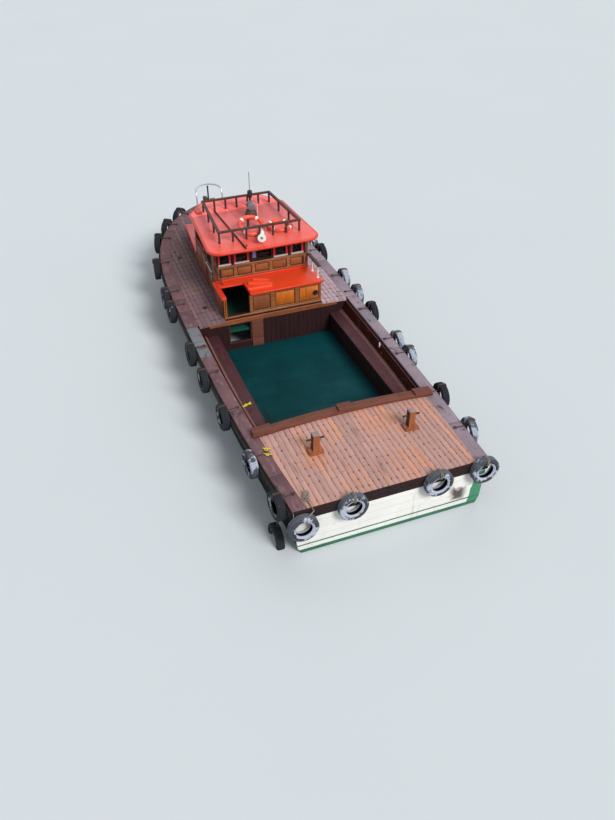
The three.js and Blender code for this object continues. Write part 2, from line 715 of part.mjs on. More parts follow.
addPart('aft_glass', makeAftGlass(), paint.glass);
addPart('front_glass', makeFrontGlass(), paint.glass);
addPart('starboard_glass', makeSideGlass(), paint.glass);
addPart('port_glass', mirrored(makeSideGlass()), paint.glass);

// Side doors, hinged at their forward edge and opening outwards.
const DOOR = { clear: 6, thickness: 36, windowZ: [2060, 2400], windowMargin: 110 };

function makeSideDoor() {
  const ys = [SIDE_DOORWAY.y[0] + DOOR.clear, SIDE_DOORWAY.y[1] - DOOR.clear];
  const zs = [SIDE_DOORWAY.z[0] + DOOR.clear, SIDE_DOORWAY.z[1] - DOOR.clear];
  const leaf = box([WHEELHOUSE_HALF - DOOR.thickness, WHEELHOUSE_HALF], ys, zs);
  const windowY = [ys[0] + DOOR.windowMargin, ys[1] - DOOR.windowMargin];
  const knuckles = HINGE.z.map((z) => hingeHalf(z + GAP, z + HINGE.knuckle, -1));
  return join([leaf.subtract(box([1000, 1500], windowY, DOOR.windowZ)), ...knuckles]);
}

addPart('starboard_door', makeSideDoor(), paint.varnish);
addPart('port_door', mirrored(makeSideDoor()), paint.varnish);

// Helm.
const HELM = { y: 2760, z: 1500, radius: 260, hub: 50, console: [2850, 3200], half: 330 };

function makeConsole() {
  const desk = box([-HELM.half, HELM.half], HELM.console, [SOLE_Z + GAP, underMidRoof]);
  const axle = bar([0, HELM.console[0] + 5, HELM.z], [0, HELM.y + HELM.hub / 2 + GAP, HELM.z], 22, 12);
  return desk.add(axle);
}

function makeHelmWheel() {
  const profile = arc(HELM.radius, 0, 14, 0, 360, 6).map(([r, z]) => new THREE.Vector2(r, z));
  const rim = toSolid(new THREE.LatheGeometry(profile, 20));
  const hub = toSolid(new THREE.CylinderGeometry(42, 42, HELM.hub, 12));
  const spokes = Array.from({ length: 6 }, (_, i) => {
    const angle = (i * Math.PI) / 3;
    const tip = HELM.radius + 90;
    return bar([0, 0, 0], [tip * Math.cos(angle), 0, tip * Math.sin(angle)], 9, 6);
  });
  return join([rim, hub, ...spokes]);
}

addPart('helm_console', makeConsole(), paint.varnish);
const wheel = addPart('helm_wheel', makeHelmWheel(), paint.darkWood);
wheel.position.set(0, HELM.y, HELM.z);

// Roof rail and what stands and lies on the roof.
const RAIL = { post: 22, top: [35, 22] };
const RAIL_AFT = { y: 1070, half: 1055 };
const RAIL_FORE = { y: 3080, half: 925 };
const RAIL_BAYS = 6;
const RAIL_SIDE_BAYS = 3;

function railPoint(share, end) {
  return [end.half * (2 * share - 1), end.y];
}

function railBar([x0, y0], [x1, y1], z, halfHeight) {
  const from = new THREE.Vector2(x0, y0);
  const span = new THREE.Vector2(x1, y1).sub(from);
  const length = span.length() + 2 * RAIL.top[0];
  const beam = new THREE.BoxGeometry(length, 2 * RAIL.top[0], 2 * halfHeight);
  beam.rotateZ(span.angle());
  beam.translate((x0 + x1) / 2, (y0 + y1) / 2, z);
  return toSolid(beam);
}

function railPost([x, y]) {
  const half = RAIL.post;
  return box([x - half, x + half], [y - half, y + half], [roofTop + GAP, RAIL_Z]);
}

function makeRoofRail() {
  const corners = [
    railPoint(0, RAIL_AFT), railPoint(1, RAIL_AFT), railPoint(1, RAIL_FORE), railPoint(0, RAIL_FORE),
  ];
  const bars = corners.map((corner, i) => (
    railBar(corner, corners[(i + 1) % 4], RAIL_Z, RAIL.top[1])
  ));
  const posts = [];
  for (let i = 0; i <= RAIL_BAYS; i += 1) {
    posts.push(railPost(railPoint(i / RAIL_BAYS, RAIL_AFT)));
    posts.push(railPost(railPoint(i / RAIL_BAYS, RAIL_FORE)));
  }
  for (let i = 1; i < RAIL_SIDE_BAYS; i += 1) {
    const share = i / RAIL_SIDE_BAYS;
    const half = RAIL_AFT.half + (RAIL_FORE.half - RAIL_AFT.half) * share;
    const y = RAIL_AFT.y + (RAIL_FORE.y - RAIL_AFT.y) * share;
    posts.push(railPost([half, y]), railPost([-half, y]));
  }
  return join([...bars, ...posts]);
}

const LAMP = { x: 170, y: 2330, footZ: 2940, drumZ: 3050, drum: 105, reach: 95 };
const MAST = { x: 230, y: 2560, top: 3200, radius: 25, lantern: 60, lanternTop: 3360, aerialTop: 3860 };

// The mast's foot also carries the searchlight's pedestal.
function makeMast() {
  const foot = roofTop + GAP;
  const post = bar([MAST.x, MAST.y, foot], [MAST.x, MAST.y, MAST.top], MAST.radius, 10);
  const base = box([MAST.x - 90, MAST.x + 90], [LAMP.y, MAST.y + 80], [foot, foot + 20]);
  const pedestal = bar([LAMP.x, LAMP.y, foot], [LAMP.x, LAMP.y, LAMP.footZ], 190, 12, 120);
  const lantern = bar(
    [MAST.x, MAST.y, MAST.top - 20], [MAST.x, MAST.y, MAST.lanternTop], MAST.lantern, 10,
  );
  const aerial = bar([MAST.x, MAST.y, MAST.top], [MAST.x, MAST.y, MAST.aerialTop], 8, 6);
  return join([post, base, pedestal, lantern, aerial]);
}

function makeSearchlight() {
  const { x, y, footZ, drumZ, drum, reach } = LAMP;
  const collar = bar([x, y, footZ + GAP], [x, y, footZ + 30], 70, 12);
  const neck = bar([x, y, footZ + 20], [x, y, drumZ], 30, 10);
  const body = bar([x, y - reach, drumZ], [x, y + reach, drumZ], drum, 16, drum - 30);
  return join([collar, neck, body]);
}

// A horn on a bracket, turned towards the port quarter.
const SPEAKER = { x: -30, y: 790, height: 190, bell: 105, turn: 20 };

function makeLoudspeaker() {
  const foot = roofTop + GAP;
  const z = foot + SPEAKER.height;
  const turn = THREE.MathUtils.degToRad(SPEAKER.turn);
  const out = (reach) => [SPEAKER.x - reach * Math.sin(turn), SPEAKER.y - reach * Math.cos(turn), z];
  const bell = bar(out(200), out(-60), SPEAKER.bell, 20, 35);
  const driver = bar(out(-40), out(-140), 50, 16);
  const [footX, footY] = out(-90);
  const bracket = box([footX - 25, footX + 25], [footY - 25, footY + 25], [foot, z]);
  return join([bell, driver, bracket]);
}

// A lifebuoy lies on the roof, or rests its forward side on a chock.
function makeLifebuoy(x, y, tilt = 0) {
  const radius = 290;
  const tube = 52;
  const profile = arc(radius, 0, tube, 0, 360, 8).map(([r, z]) => new THREE.Vector2(r, z));
  const ring = new THREE.LatheGeometry(profile, 20);
  const slope = THREE.MathUtils.degToRad(tilt);
  ring.rotateX(Math.PI / 2 + slope);
  ring.computeBoundingBox();
  const foot = roofTop + GAP;
  const centreZ = foot - ring.boundingBox.min.z;
  ring.translate(x, y, centreZ);
  if (tilt === 0) return toSolid(ring);
  const chockY = y + radius * Math.cos(slope);
  const chockTop = centreZ + radius * Math.sin(slope) - tube / 2;
  const chock = box([x - 30, x + 30], [chockY - 35, chockY + 35], [foot, chockTop]);
  return toSolid(ring).add(chock);
}

// The boat-hook lies on the roof, its aft end under the rail.
const HOOK = { radius: 20, foreX: -640, aftX: -530, foreY: 3010, aftY: 550 };

function makeBoatHook() {
  const z = roofTop + HOOK.radius + GAP;
  return bar([HOOK.foreX, HOOK.foreY, z], [HOOK.aftX, HOOK.aftY, z], HOOK.radius, 10);
}

addPart('roof_rail', makeRoofRail(), paint.varnish);
addPart('mast', makeMast(), paint.darkIron);
addPart('searchlight', makeSearchlight(), paint.darkIron);
addPart('loudspeaker', makeLoudspeaker(), paint.whitePlastic);
addPart('lifebuoy_middle', makeLifebuoy(-107, 1440, 24), paint.ringOrange);
addPart('lifebuoy_starboard', makeLifebuoy(650, 1440), paint.ringOrange);
addPart('boat_hook', makeBoatHook(), paint.varnish);

// Bow fittings.
function foreDeckTop(x, y) {
  const share = x / foreHalf(y);
  return sheer(y) + foreCrown(y) * (1 - share * share);
}

function makeBowPost() {
  const y = 5750;
  const deckZ = foreDeckTop(0, y);
  const post = box([-80, 80], [y - 80, y + 80], [deckZ - DECK / 2, deckZ + 480]);
  const pin = bar([-230, y, deckZ + 340], [230, y, deckZ + 340], 28, 12);
  return post.add(pin).subtract(foreDeck.translate([0, 0, GAP]));
}

function tube(points, radius) {
  const curve = new THREE.CatmullRomCurve3(points.map((p) => new THREE.Vector3(...p)));
  const ring = new THREE.Shape(arc(0, 0, radius, 0, 300, 5).map(([a, b]) => new THREE.Vector2(a, b)));
  const options = { steps: 4 * (points.length - 1), extrudePath: curve, bevelEnabled: false };
  return toSolid(new THREE.ExtrudeGeometry(ring, options));
}

function makePulpit() {
  const foot = sheer(6060);
  const top = foot + 660;
  const half = 400;
  const hoop = [
    [-half, 6060, foot], [-half, 6090, foot + 250], [-half + 10, 6180, top - 60],
    [-300, 6380, top], [0, 6560, top],
    [300, 6380, top], [half - 10, 6180, top - 60], [half, 6090, foot + 250], [half, 6060, foot],
  ];
  return tube(hoop, 22).subtract(foreDeck.translate([0, 0, GAP]));
}

function makeJackstaff() {
  const y = 6280;
  const deckZ = foreDeckTop(0, y);
  const staff = bar([0, y, deckZ - DECK / 2], [0, y, deckZ + 640], 24, 12);
  return staff.subtract(foreDeck.translate([0, 0, GAP]));
}

addPart('bow_post', makeBowPost(), paint.darkWood);
addPart('pulpit', makePulpit(), paint.steel);
addPart('jackstaff', makeJackstaff(), paint.darkIron);

// Engine, shaft, propeller and rudder.
function makeEngine() {
  return fittedInside(box([-ENGINE.half, ENGINE.half], ENGINE.y, [BOTTOM_Z, ENGINE.top]));
}

function makeShaft() {
  return bar(SHAFT_FORE, SHAFT_AFT, SHAFT_RADIUS, 16);
}

function makePropeller() {
  const blades = [0, 120, 240].map((degrees) => {
    const outline = new THREE.Shape();
    outline.moveTo(-40, 20);
    outline.quadraticCurveTo(-130, 150, -60, 250);
    outline.quadraticCurveTo(0, 290, 60, 250);
    outline.quadraticCurveTo(130, 150, 40, 20);
    const blade = new THREE.ExtrudeGeometry(outline, { depth: 14, bevelEnabled: false, curveSegments: 5 });
    blade.translate(0, 0, -7);
    blade.rotateY(THREE.MathUtils.degToRad(35));
    blade.rotateZ(THREE.MathUtils.degToRad(degrees));
    return toSolid(blade);
  });
  const hub = new THREE.CylinderGeometry(60, 48, 2 * PROPELLER.hubHalf, 16);
  hub.rotateX(Math.PI / 2);
  return join([toSolid(hub), ...blades]);
}

function makeRudder() {
  const blade = box([-22, 22], [RUDDER_Y - 450, RUDDER_Y + 90], [-1060, -420]);
  const stock = bar([0, RUDDER_Y, SHOE_Z[1] + GAP], [0, RUDDER_Y, 60], 34, 16);
  return blade.add(stock);
}

addPart('engine', makeEngine(), paint.engineGrey);
addPart('propeller_shaft', makeShaft(), paint.steel);
const shaftTurn = Math.atan2(SHAFT_FORE[2] - SHAFT_AFT[2], SHAFT_FORE[1] - SHAFT_AFT[1]);
const hubReach = PROPELLER.hubHalf + GAP;
const propeller = addPart('propeller', makePropeller(), paint.brass);
propeller.rotation.x = shaftTurn - Math.PI / 2;
propeller.position.set(
  0, SHAFT_AFT[1] - hubReach * Math.cos(shaftTurn), SHAFT_AFT[2] - hubReach * Math.sin(shaftTurn),
);
addPart('rudder', makeRudder(), paint.darkWood);

// Tyre fenders. The side tyres hang on a rubbing strake, the stern tyres stand alone.
const TYRE = { radius: 290, bore: 165, half: 85 };
const STRAKE = { top: DECK + GAP, depth: 130, out: 75, into: 120 };

function tyreSolid() {
  const { radius, bore, half } = TYRE;
  const profile = [
    [bore, -half * 0.8], [radius - 45, -half], [radius, -half * 0.6], [radius, half * 0.6],
    [radius - 45, half], [bore, half * 0.8], [bore, -half * 0.8],
  ];
  const ring = new THREE.LatheGeometry(profile.map(([r, z]) => new THREE.Vector2(r, z)), 16);
  ring.rotateZ(Math.PI / 2);
  return ring;
}

function sideTyre({ y, z }) {
  const ring = tyreSolid();
  const reach = 60;
  const turn = Math.atan2(halfBeam(y - reach) - halfBeam(y + reach), 2 * reach);
  const out = STRAKE.out * Math.cos(turn) + TYRE.half - 12;
  ring.rotateZ(turn);
  ring.translate(halfBeam(y) + out * Math.cos(turn), y + out * Math.sin(turn), z);
  return toSolid(ring);
}

// The strake follows the hull's flare, so its back is cut to the planking.
const outsideHull = hullBody(STERN_Y, BOW_Y, -GAP, underDeck);

function makeStrake() {
  const inner = (y) => halfBeam(y) - STRAKE.into;
  const outer = (y) => halfBeam(y) + STRAKE.out;
  const top = (y) => sheer(y) - STRAKE.top;
  return deckStrip(STERN_Y, 6450, inner, outer, STRAKE.depth, top).subtract(outsideHull);
}

const HANG = 155;
const hung = (y) => ({ y, z: sheer(y) - HANG });
const STARBOARD_TYRES = [-5740, -4400, -2740, -2060, -570, 370, 1270, 2800, 3360].map(hung);
const PORT_TYRES = [-6390, -5070, -3390, -1910, -780, 1250, 1950, 3500, 4850, 5600, 6150].map(hung);
// One more tyre hangs low on the port quarter, by a rope from the tyre above it.
const LOW_TYRE = { y: -6330, z: 60, rope: 18 };

function makeFenders(tyres) {
  return join([makeStrake(), ...tyres.map(sideTyre)]);
}

function makeLowTyre() {
  const upper = PORT_TYRES[0];
  const x = halfBeam(LOW_TYRE.y) + STRAKE.out + TYRE.half - 12;
  const from = [x, upper.y, upper.z - TYRE.bore - 20];
  const to = [x, LOW_TYRE.y, LOW_TYRE.z + TYRE.bore + 20];
  return join([sideTyre(LOW_TYRE), bar(from, to, LOW_TYRE.rope, 6)]);
}

addPart('starboard_fenders', makeFenders(STARBOARD_TYRES), paint.rubber);
addPart('port_fenders', mirrored(makeFenders(PORT_TYRES).add(makeLowTyre())), paint.rubber);

const STERN_TYRES = [[-1900, 820], [-910, 1010], [880, 1000], [1890, 1010]];
STERN_TYRES.forEach(([x, z], i) => {
  const ring = tyreSolid();
  ring.rotateZ(Math.PI / 2);
  ring.translate(x, TRANSOM_FACE_Y - 45 - 2 * GAP - TYRE.half, z);
  addPart(`stern_tyre_${i + 1}`, ring, paint.rubber);
});

export default launch;
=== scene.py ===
"""Finish and fittings of a wooden supply launch, laid out as an add-on and run as a script.

Metres. +X is starboard, +Y is towards the bow, +Z is up, and the waterline is at z = 0.
"""

import bisect
import math

import bmesh
import bpy
from bpy.props import FloatProperty, FloatVectorProperty, IntProperty, PointerProperty
from mathutils import Matrix, Vector


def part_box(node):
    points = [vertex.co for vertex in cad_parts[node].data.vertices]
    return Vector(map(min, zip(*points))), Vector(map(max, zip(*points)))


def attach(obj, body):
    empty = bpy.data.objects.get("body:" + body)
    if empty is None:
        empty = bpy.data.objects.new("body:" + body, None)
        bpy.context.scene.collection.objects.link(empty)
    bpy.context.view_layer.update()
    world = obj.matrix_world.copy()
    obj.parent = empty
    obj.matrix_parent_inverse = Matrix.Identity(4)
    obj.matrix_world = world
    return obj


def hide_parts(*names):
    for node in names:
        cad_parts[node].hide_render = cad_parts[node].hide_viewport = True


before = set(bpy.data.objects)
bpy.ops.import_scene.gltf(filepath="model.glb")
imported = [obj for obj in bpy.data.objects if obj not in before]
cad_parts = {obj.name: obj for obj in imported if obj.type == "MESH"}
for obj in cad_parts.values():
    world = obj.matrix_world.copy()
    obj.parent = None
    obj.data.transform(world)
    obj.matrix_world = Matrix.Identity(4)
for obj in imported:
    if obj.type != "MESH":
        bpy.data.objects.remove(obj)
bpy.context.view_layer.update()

bl_info = {
    "name": "Supply Launch",
    "version": (1, 0, 0),
    "blender": (4, 5, 0),
    "location": "3D View > Sidebar > Launch",
    "description": "Finish and fittings of a wooden supply launch",
    "category": "Add Mesh",
}

SIDES = {"starboard": 1, "port": -1}
UP = Vector((0, 0, 1))


def tint(code):
    """A screen colour such as a0522d as the linear numbers that a shader takes."""
    parts = [int(code[i:i + 2], 16) / 255 for i in (0, 2, 4)]
    return tuple(c / 12.92 if c <= 0.04045 else ((c + 0.055) / 1.055) ** 2.4 for c in parts)


def length(name, description, default):
    return FloatProperty(
        name=name, description=description, default=default, unit="LENGTH", subtype="DISTANCE",
    )


def colour(name, description, code):
    return FloatVectorProperty(
        name=name, description=description, default=tint(code), min=0, max=1, subtype="COLOR",
    )


class LaunchSizes(bpy.types.PropertyGroup):
    """Sizes of the planking, the trim and the fenders."""

    deck_plank: length("Deck plank", "Width of a deck plank", 0.118)
    floor_board: length("Floor board", "Width of a board of the cargo floor", 0.42)
    seam: length("Seam", "Half width of the groove between two planks", 0.0045)
    seam_depth: length("Seam depth", "Depth of the groove between two planks", 0.005)
    edge: length("Worn edge", "Rounding of the timbers' edges", 0.010)
    roof_lip: length("Roof lip", "Rounding of the roofs' edges", 0.026)
    trim: length("Trim", "How far stiles and rails stand proud of the walls", 0.018)
    casing: length("Casing", "Width of the window casings", 0.05)
    rope: length("Rope", "Thickness of the fender ropes", 0.022)
    tyre_radius: length("Tyre radius", "Outer radius of a fender tyre", 0.29)
    tyre_bore: length("Tyre bore", "Inner radius of a fender tyre", 0.165)
    tyre_half: length("Tyre half width", "Half the width of a fender tyre", 0.085)
    buoy_radius: length("Lifebuoy radius", "Radius of a lifebuoy's centreline", 0.29)
    buoy_tube: length("Lifebuoy tube", "Radius of a lifebuoy's body", 0.052)
    buoy_tilt: FloatProperty(
        name="Lifebuoy tilt", description="Slope of the middle lifebuoy on its chock",
        default=math.radians(24), unit="ROTATION", subtype="ANGLE",
    )
    tread_blocks: IntProperty(
        name="Tread blocks", description="Blocks round a tyre's tread", default=36, min=8, max=60,
    )


class LaunchColours(bpy.types.PropertyGroup):
    """Colours of the paint, the timber and the fittings."""

    aft_deck: colour("Aft deck", "Bare planks of the aft deck", "bd9288")
    aft_deck_warm: colour("Aft deck, oiled", "Oiled patches of the aft deck", "c98662")
    fore_deck: colour("Fore deck", "Weathered planks forward", "7b6166")
    # The port and starboard caps are one timber: their two colours are painted shade to port and painted
    # light to starboard.
    cap: colour("Port caps", "Gunwale cap and covering board to port", "6c4c50")
    cap_starboard: colour("Starboard caps", "The same to starboard", "8b7a84")
    cap_grey: colour("Grey timber", "Weathered grey patches", "6f767b")
    varnish: colour("Varnish", "Varnished frames", "8f5a34")
    varnish_bright: colour("New varnish", "Freshly varnished panels", "c0641f")
    dark_wood: colour("Dark timber", "Dark boards and rails", "4b2a22")
    well_side: colour("Well side", "Boards inside the cargo well", "3c130c")
    # The roof's top colours are pinker than its edge paint: that pink is painted sky reflection.
    roof: colour("Roof", "Paint of the wheelhouse roof", "ee5a4c")
    roof_pale: colour("Bleached roof", "Sun-bleached patches of that roof", "ff8080")
    roof_bright: colour("Lower roof", "Fresh paint of the lower roof", "e0421a")
    roof_edge: colour("Roof edge", "Paint of the roofs' edges", "d4300f")
    crimson: colour("Window casings", "Paint of the window casings", "cc2630")
    green: colour("Cargo floor", "Deck paint of the cargo floor", "053c40")
    black: colour("Hull", "Paint of the topsides", "050608")
    bottom: colour("Bottom", "Paint of the bottom", "1f6a4c")
    white: colour("White paint", "Paint of the transom", "e2dfd8")
    rust: colour("Rust", "Rust and grime streaks", "8a4b23")
    rubber: colour("Rubber", "Tyre rubber", "101216")
    scuff: colour("Scuffs", "Chalky scuffed rubber", "a6abb8")
    buoy: colour("Lifebuoys", "Body of the lifebuoys", "ee4a26")


# Shader building

def math_node(operation, swapped=False):
    """A strand's method that adds a Math node, with the strand last where it is swapped."""

    def method(self, *others):
        values = (*others, self) if swapped else (self, *others)
        settings = {"operation": operation}
        return self.finish.node("ShaderNodeMath", settings, dict(enumerate(values)))

    return method


class Strand:
    """A node's output. Python's operators on it add Math nodes."""

    def __init__(self, finish, socket):
        self.finish = finish
        self.socket = socket

    __add__ = __radd__ = math_node("ADD")
    __sub__ = math_node("SUBTRACT")
    __rsub__ = math_node("SUBTRACT", swapped=True)
    __mul__ = __rmul__ = math_node("MULTIPLY")
    __truediv__ = math_node("DIVIDE")
    __rtruediv__ = math_node("DIVIDE", swapped=True)
    __mod__ = math_node("FLOORED_MODULO")
    __abs__ = math_node("ABSOLUTE")
    __lt__ = math_node("LESS_THAN")
    whole = math_node("FLOOR")
    most = math_node("MAXIMUM")


class Finish:
    """One material: a Principled shader whose patterns lie on the object's own coordinates."""

    def __init__(self, name, **fixed):
        self.material = bpy.data.materials.new(name)
        self.material.use_nodes = True
        self.tree = self.material.node_tree
        self.tree.nodes.clear()
        self.shader = self.tree.nodes.new("ShaderNodeBsdfPrincipled")
        output = self.tree.nodes.new("ShaderNodeOutputMaterial")
        self.tree.links.new(self.shader.outputs[0], output.inputs[0])
        for socket, value in fixed.items():
            self.feed(self.shader.inputs[socket.replace("_", " ")], value)
        self.place = self.node("ShaderNodeTexCoord", output="Object")
        self.x, self.y, self.z = self.split(self.place)

    def node(self, kind, settings=None, sockets=None, output=0):
        """Adds a node with its settings, then its sockets' values and links."""
        made = self.tree.nodes.new(kind)
        for name, value in (settings or {}).items():
            setattr(made, name, value)
        for key, value in (sockets or {}).items():
            self.feed(made.inputs[key], value)
        return Strand(self, made.outputs[output])

    def feed(self, target, value):
        """Links a strand to a socket, or sets a number, a vector or a colour on it."""
        if isinstance(value, Strand):
            self.tree.links.new(value.socket, target)
            return
        if isinstance(value, str):
            value = hue(value)
        if target.type == "RGBA":
            value = (*value, 1.0)
        target.default_value = value

    def split(self, vector):
        first = self.node("ShaderNodeSeparateXYZ", sockets={0: vector})
        return [Strand(self, output) for output in first.socket.node.outputs]

    def noise(self, scale, stretch=(1, 1, 1), detail=3, rough=0.55, shift=0.0):
        """Noise over the piece, scaled along each axis and shifted."""
        location = (shift, shift * 0.7, shift * 1.3)
        sockets = {"Vector": self.place, "Scale": stretch, "Location": location}
        vector = self.node("ShaderNodeMapping", sockets=sockets)
        sockets = {"Vector": vector, "Scale": scale, "Detail": detail, "Roughness": rough}
        return self.node("ShaderNodeTexNoise", sockets=sockets)

    def random(self, number):
        """A number from 0 to 1 for each whole number."""
        settings = {"noise_dimensions": "1D"}
        return self.node("ShaderNodeTexWhiteNoise", settings, {"W": number})

    def ease(self, value, low, high, start=0.0, end=1.0):
        """start below low, end above high, and a smooth change between them."""
        settings = {"interpolation_type": "SMOOTHSTEP"}
        sockets = {0: value, 1: low, 2: high, 3: start, 4: end}
        return self.node("ShaderNodeMapRange", settings, sockets)

    def fade(self, value, low, high):
        return self.ease(value, low, high, 1.0, 0.0)

    def spots(self, low, high, scale, stretch=(1, 1, 1), detail=4, rough=0.55, shift=0.0):
        """Patches where a noise rises from one value to the other."""
        return self.ease(self.noise(scale, stretch, detail, rough, shift), low, high)

    def blend(self, mask, first, second):
        settings = {"data_type": "RGBA", "blend_type": "MIX", "clamp_factor": True}
        return self.node("ShaderNodeMix", settings, {0: mask, 6: first, 7: second}, output=2)

    def layers(self, body, *layers):
        """Colours laid over the first one, each where its mask is 1."""
        for mask, over in layers:
            body = self.blend(mask, body, over)
        return body

    def shade(self, base, tone):
        """A colour made lighter or darker by a strand that is 1 where it stays as it is."""
        tones = self.node("ShaderNodeCombineXYZ", sockets={0: tone, 1: tone, 2: tone})
        sockets = {0: base, 1: tones}
        return self.node("ShaderNodeVectorMath", {"operation": "MULTIPLY"}, sockets)

    def boards(self, across, width, seam, along=None, run=3.2):
        """Boards side by side: a random number for each one, and a mask of its seams."""
        place = across / width
        board = place.whole()
        number = self.random(board + 0.5)
        gap = self.fade(to_line(place, width), seam * 0.4, seam * 1.3)
        if along is not None:
            butt = along / run + number * 7.0
            gap = gap.most(self.fade(to_line(butt, run), 0.002, 0.006))
            number = self.random(board + butt.whole() * 13.7 + 0.3)
        return number, gap

    def dress(self, base, rough, height=None, depth=0.002, metal=0.0):
        """Links the patterns to the shader and gives its material back."""
        for socket, value in (("Base Color", base), ("Roughness", rough), ("Metallic", metal)):
            self.feed(self.shader.inputs[socket], value)
        if height is not None:
            sockets = {"Height": height, "Distance": depth, "Strength": 1.0}
            self.feed(self.shader.inputs["Normal"], self.node("ShaderNodeBump", sockets=sockets))
        return self.material


def to_line(place, run):
    """How far the nearest line is, where place counts the lines and run parts them."""
    return (0.5 - abs(place % 1.0 - 0.5)) * run


def sizes():
    return bpy.context.scene.launch_sizes


def hue(code):
    """A colour of the panel by its name, or a screen colour."""
    palette = bpy.context.scene.launch_colours
    return tuple(getattr(palette, code)) if hasattr(palette, code) else tint(code)


def shaded(code, factor):
    return tuple(min(c * factor, 1.0) for c in hue(code))


# Finishes

def deck(title, base, warm, warmth, tone, pale=None, grid=False):
    """Bare planks laid fore and aft, with dark seams, rows of nails and worn patches."""
    f = Finish(title, Specular_IOR_Level=0.3)
    width, beam = sizes().deck_plank, 0.22
    number, gap = f.boards(f.x, width, sizes().seam, f.y)
    grain = f.noise(26, (1, 0.08, 1), 5)
    cloud = f.noise(0.75, detail=4)
    wear = f.noise(2.6, (1, 0.30, 1), 4, shift=3.1)
    # Where pale is given, the planks lighten towards starboard: painted light to starboard and painted
    # shade to port.
    if pale:
        base = f.blend(f.ease(f.x, 0.2, 1.2), base, pale)
    patches = f.ease(cloud * 0.6 + wear * 0.45 + number * 0.22, 0.60, 0.82)
    body = f.blend(patches * warmth, base, warm)
    body = f.shade(body, number * 0.22 + grain * 0.40 + wear * 0.42 + (tone - 0.52))
    beams = to_line(f.y / beam + number * (0.0 if grid else 0.6), beam)
    sides = to_line(f.x / width, width) * (0.12 if grid else 0.9)
    reach = 0.0 if grid else 0.008
    nails = f.fade(sides + beams * 0.55, 0.010 + reach, 0.022 + reach)
    broken = f.spots(0.42, 0.60, 7.5, (1.6, 1.0, 1), 3, shift=8.0) * 0.7
    stains = f.spots(0.60, 0.76, 9, (1.0, 0.10, 1), 3, shift=5.3) * 0.45
    open_seams = gap * f.ease(wear, 0.42, 0.62, 0.35, 0.8)
    body = f.blend((nails * broken).most(open_seams).most(stains), body, "32262a")
    height = grain * 0.35 - gap - nails * 0.4
    return f.dress(body, 0.72 - patches * 0.18 + grain * 0.12, height)


def cap(title):
    """Worn timber that shows grey in places, darker along the port side as painted shade."""
    f = Finish(title, Specular_IOR_Level=0.35)
    grain = f.noise(22, (1, 0.07, 1), 5)
    cloud = f.noise(1.6, (1, 0.5, 1), 4)
    chips = f.spots(0.54, 0.66, 7, (1.4, 0.45, 1), 5, shift=2.0)
    port, patch = f.x < 0.0, abs(f.y + 0.57)
    pale = port * f.ease(patch, 0.66, 0.69, 0.9, 0.0)
    pale = pale.most((1.0 - port) * f.ease(abs(f.y + 0.95), 0.20, 0.34, 0.55, 0.0))
    pale = pale * f.spots(0.30, 0.52, 5, shift=4.0)
    rub = f.spots(0.58, 0.70, 12, (0.6, 0.3, 1), shift=6.6)
    joint = port * f.fade(abs(abs(patch - 0.34) - 0.34), 0.004, 0.012)
    # The port cap takes the darker colour and the starboard cap the lighter one: painted shade to port,
    # painted light to starboard.
    body = f.layers(
        f.shade(f.blend(port, "cap_starboard", "cap"), cloud * 0.8 + grain * 0.4 + 0.42),
        (chips * 0.25, "a8938f"), (pale, "cap_grey"), ((rub * 0.7).most(joint * 0.8), "3c2728"),
    )
    return f.dress(body, 0.6 + cloud * 0.22, grain - chips * 0.6)


def grained(title, base, along, contrast=0.8, rough=0.34, coat=0.35, streak=0.35):
    """Varnished or oiled timber whose grain runs along one axis."""
    f = Finish(title, Coat_Weight=coat, Coat_Roughness=0.12, Specular_IOR_Level=0.3)
    stretch = tuple(0.07 if axis == along else 1.0 for axis in "xyz")
    grain = f.noise(31, stretch, 6, 0.62)
    figure = f.noise(4.5, stretch, shift=3.0)
    cloud = f.noise(2.2, shift=7.0)
    bands = f.ease(abs(figure * 7.0 % 1.0 - 0.5), 0.05, 0.45)
    tone = grain * contrast + bands * 0.22 + cloud * 0.5 + (0.62 - contrast * 0.5)
    dirt = f.spots(0.56, 0.72, 6.5, shift=9.0)
    body = f.blend(dirt * streak, f.shade(base, tone), shaded(base, 0.28))
    return f.dress(body, rough + grain * 0.18 + dirt * 0.2, grain + bands * 0.3, 0.0012)


def well_boards(title):
    """Boards inside the well, lengthwise, dark and scuffed."""
    f = Finish(title, Specular_IOR_Level=0.12)
    number, gap = f.boards(f.z, 0.11, 0.005, f.y, 2.6)
    grain = f.noise(20, (1, 0.06, 1), 5)
    scuffs = f.spots(0.60, 0.74, 9, (1, 0.3, 1), shift=3.0)
    body = f.shade("well_side", number * 0.5 + grain * 0.6 + 0.35)
    body = f.layers(body, (scuffs * 0.4, "8d5a4a"), (gap * 0.9, "120706"))
    return f.dress(body, 0.6 + scuffs * 0.2, grain * 0.4 - gap)


def roof_paint(title, base, edge, sky_sheen):
    """Gloss paint: the edges in its saturated colour, the top pinker with painted sky reflection."""
    f = Finish(title, Specular_IOR_Level=0.3, Coat_Weight=0.1, Coat_Roughness=0.25)
    cloud = f.noise(0.9, detail=4, shift=2.0)
    brush = f.noise(30, (0.12, 1, 1))
    normal = f.node("ShaderNodeNewGeometry", output="True Normal")
    # Upward faces take the pinker base and the rest the edge paint: the top's pink is partly painted sky
    # reflection.
    upward = f.ease(f.split(normal)[2], 0.97, 0.99)
    # Pink patches on the top: painted reflection of the sky in the gloss.
    pale = upward * f.ease(f.y, 0.95, 1.25) * f.ease(cloud, 0.30, 0.62) * sky_sheen
    drips = f.spots(0.60, 0.78, 5, (1.0, 0.16, 1), shift=5.0)
    chips = f.spots(0.72, 0.75, 34, detail=2, shift=8.0)
    body = f.layers(
        f.blend(upward, edge, base), (pale, "roof_pale"), (drips * 0.22, "9c3a2a"),
        (chips * 0.5, "7a3a2c"),
    )
    return f.dress(body, 0.34 + cloud * 0.14, brush * 0.5 - chips, 0.0012)


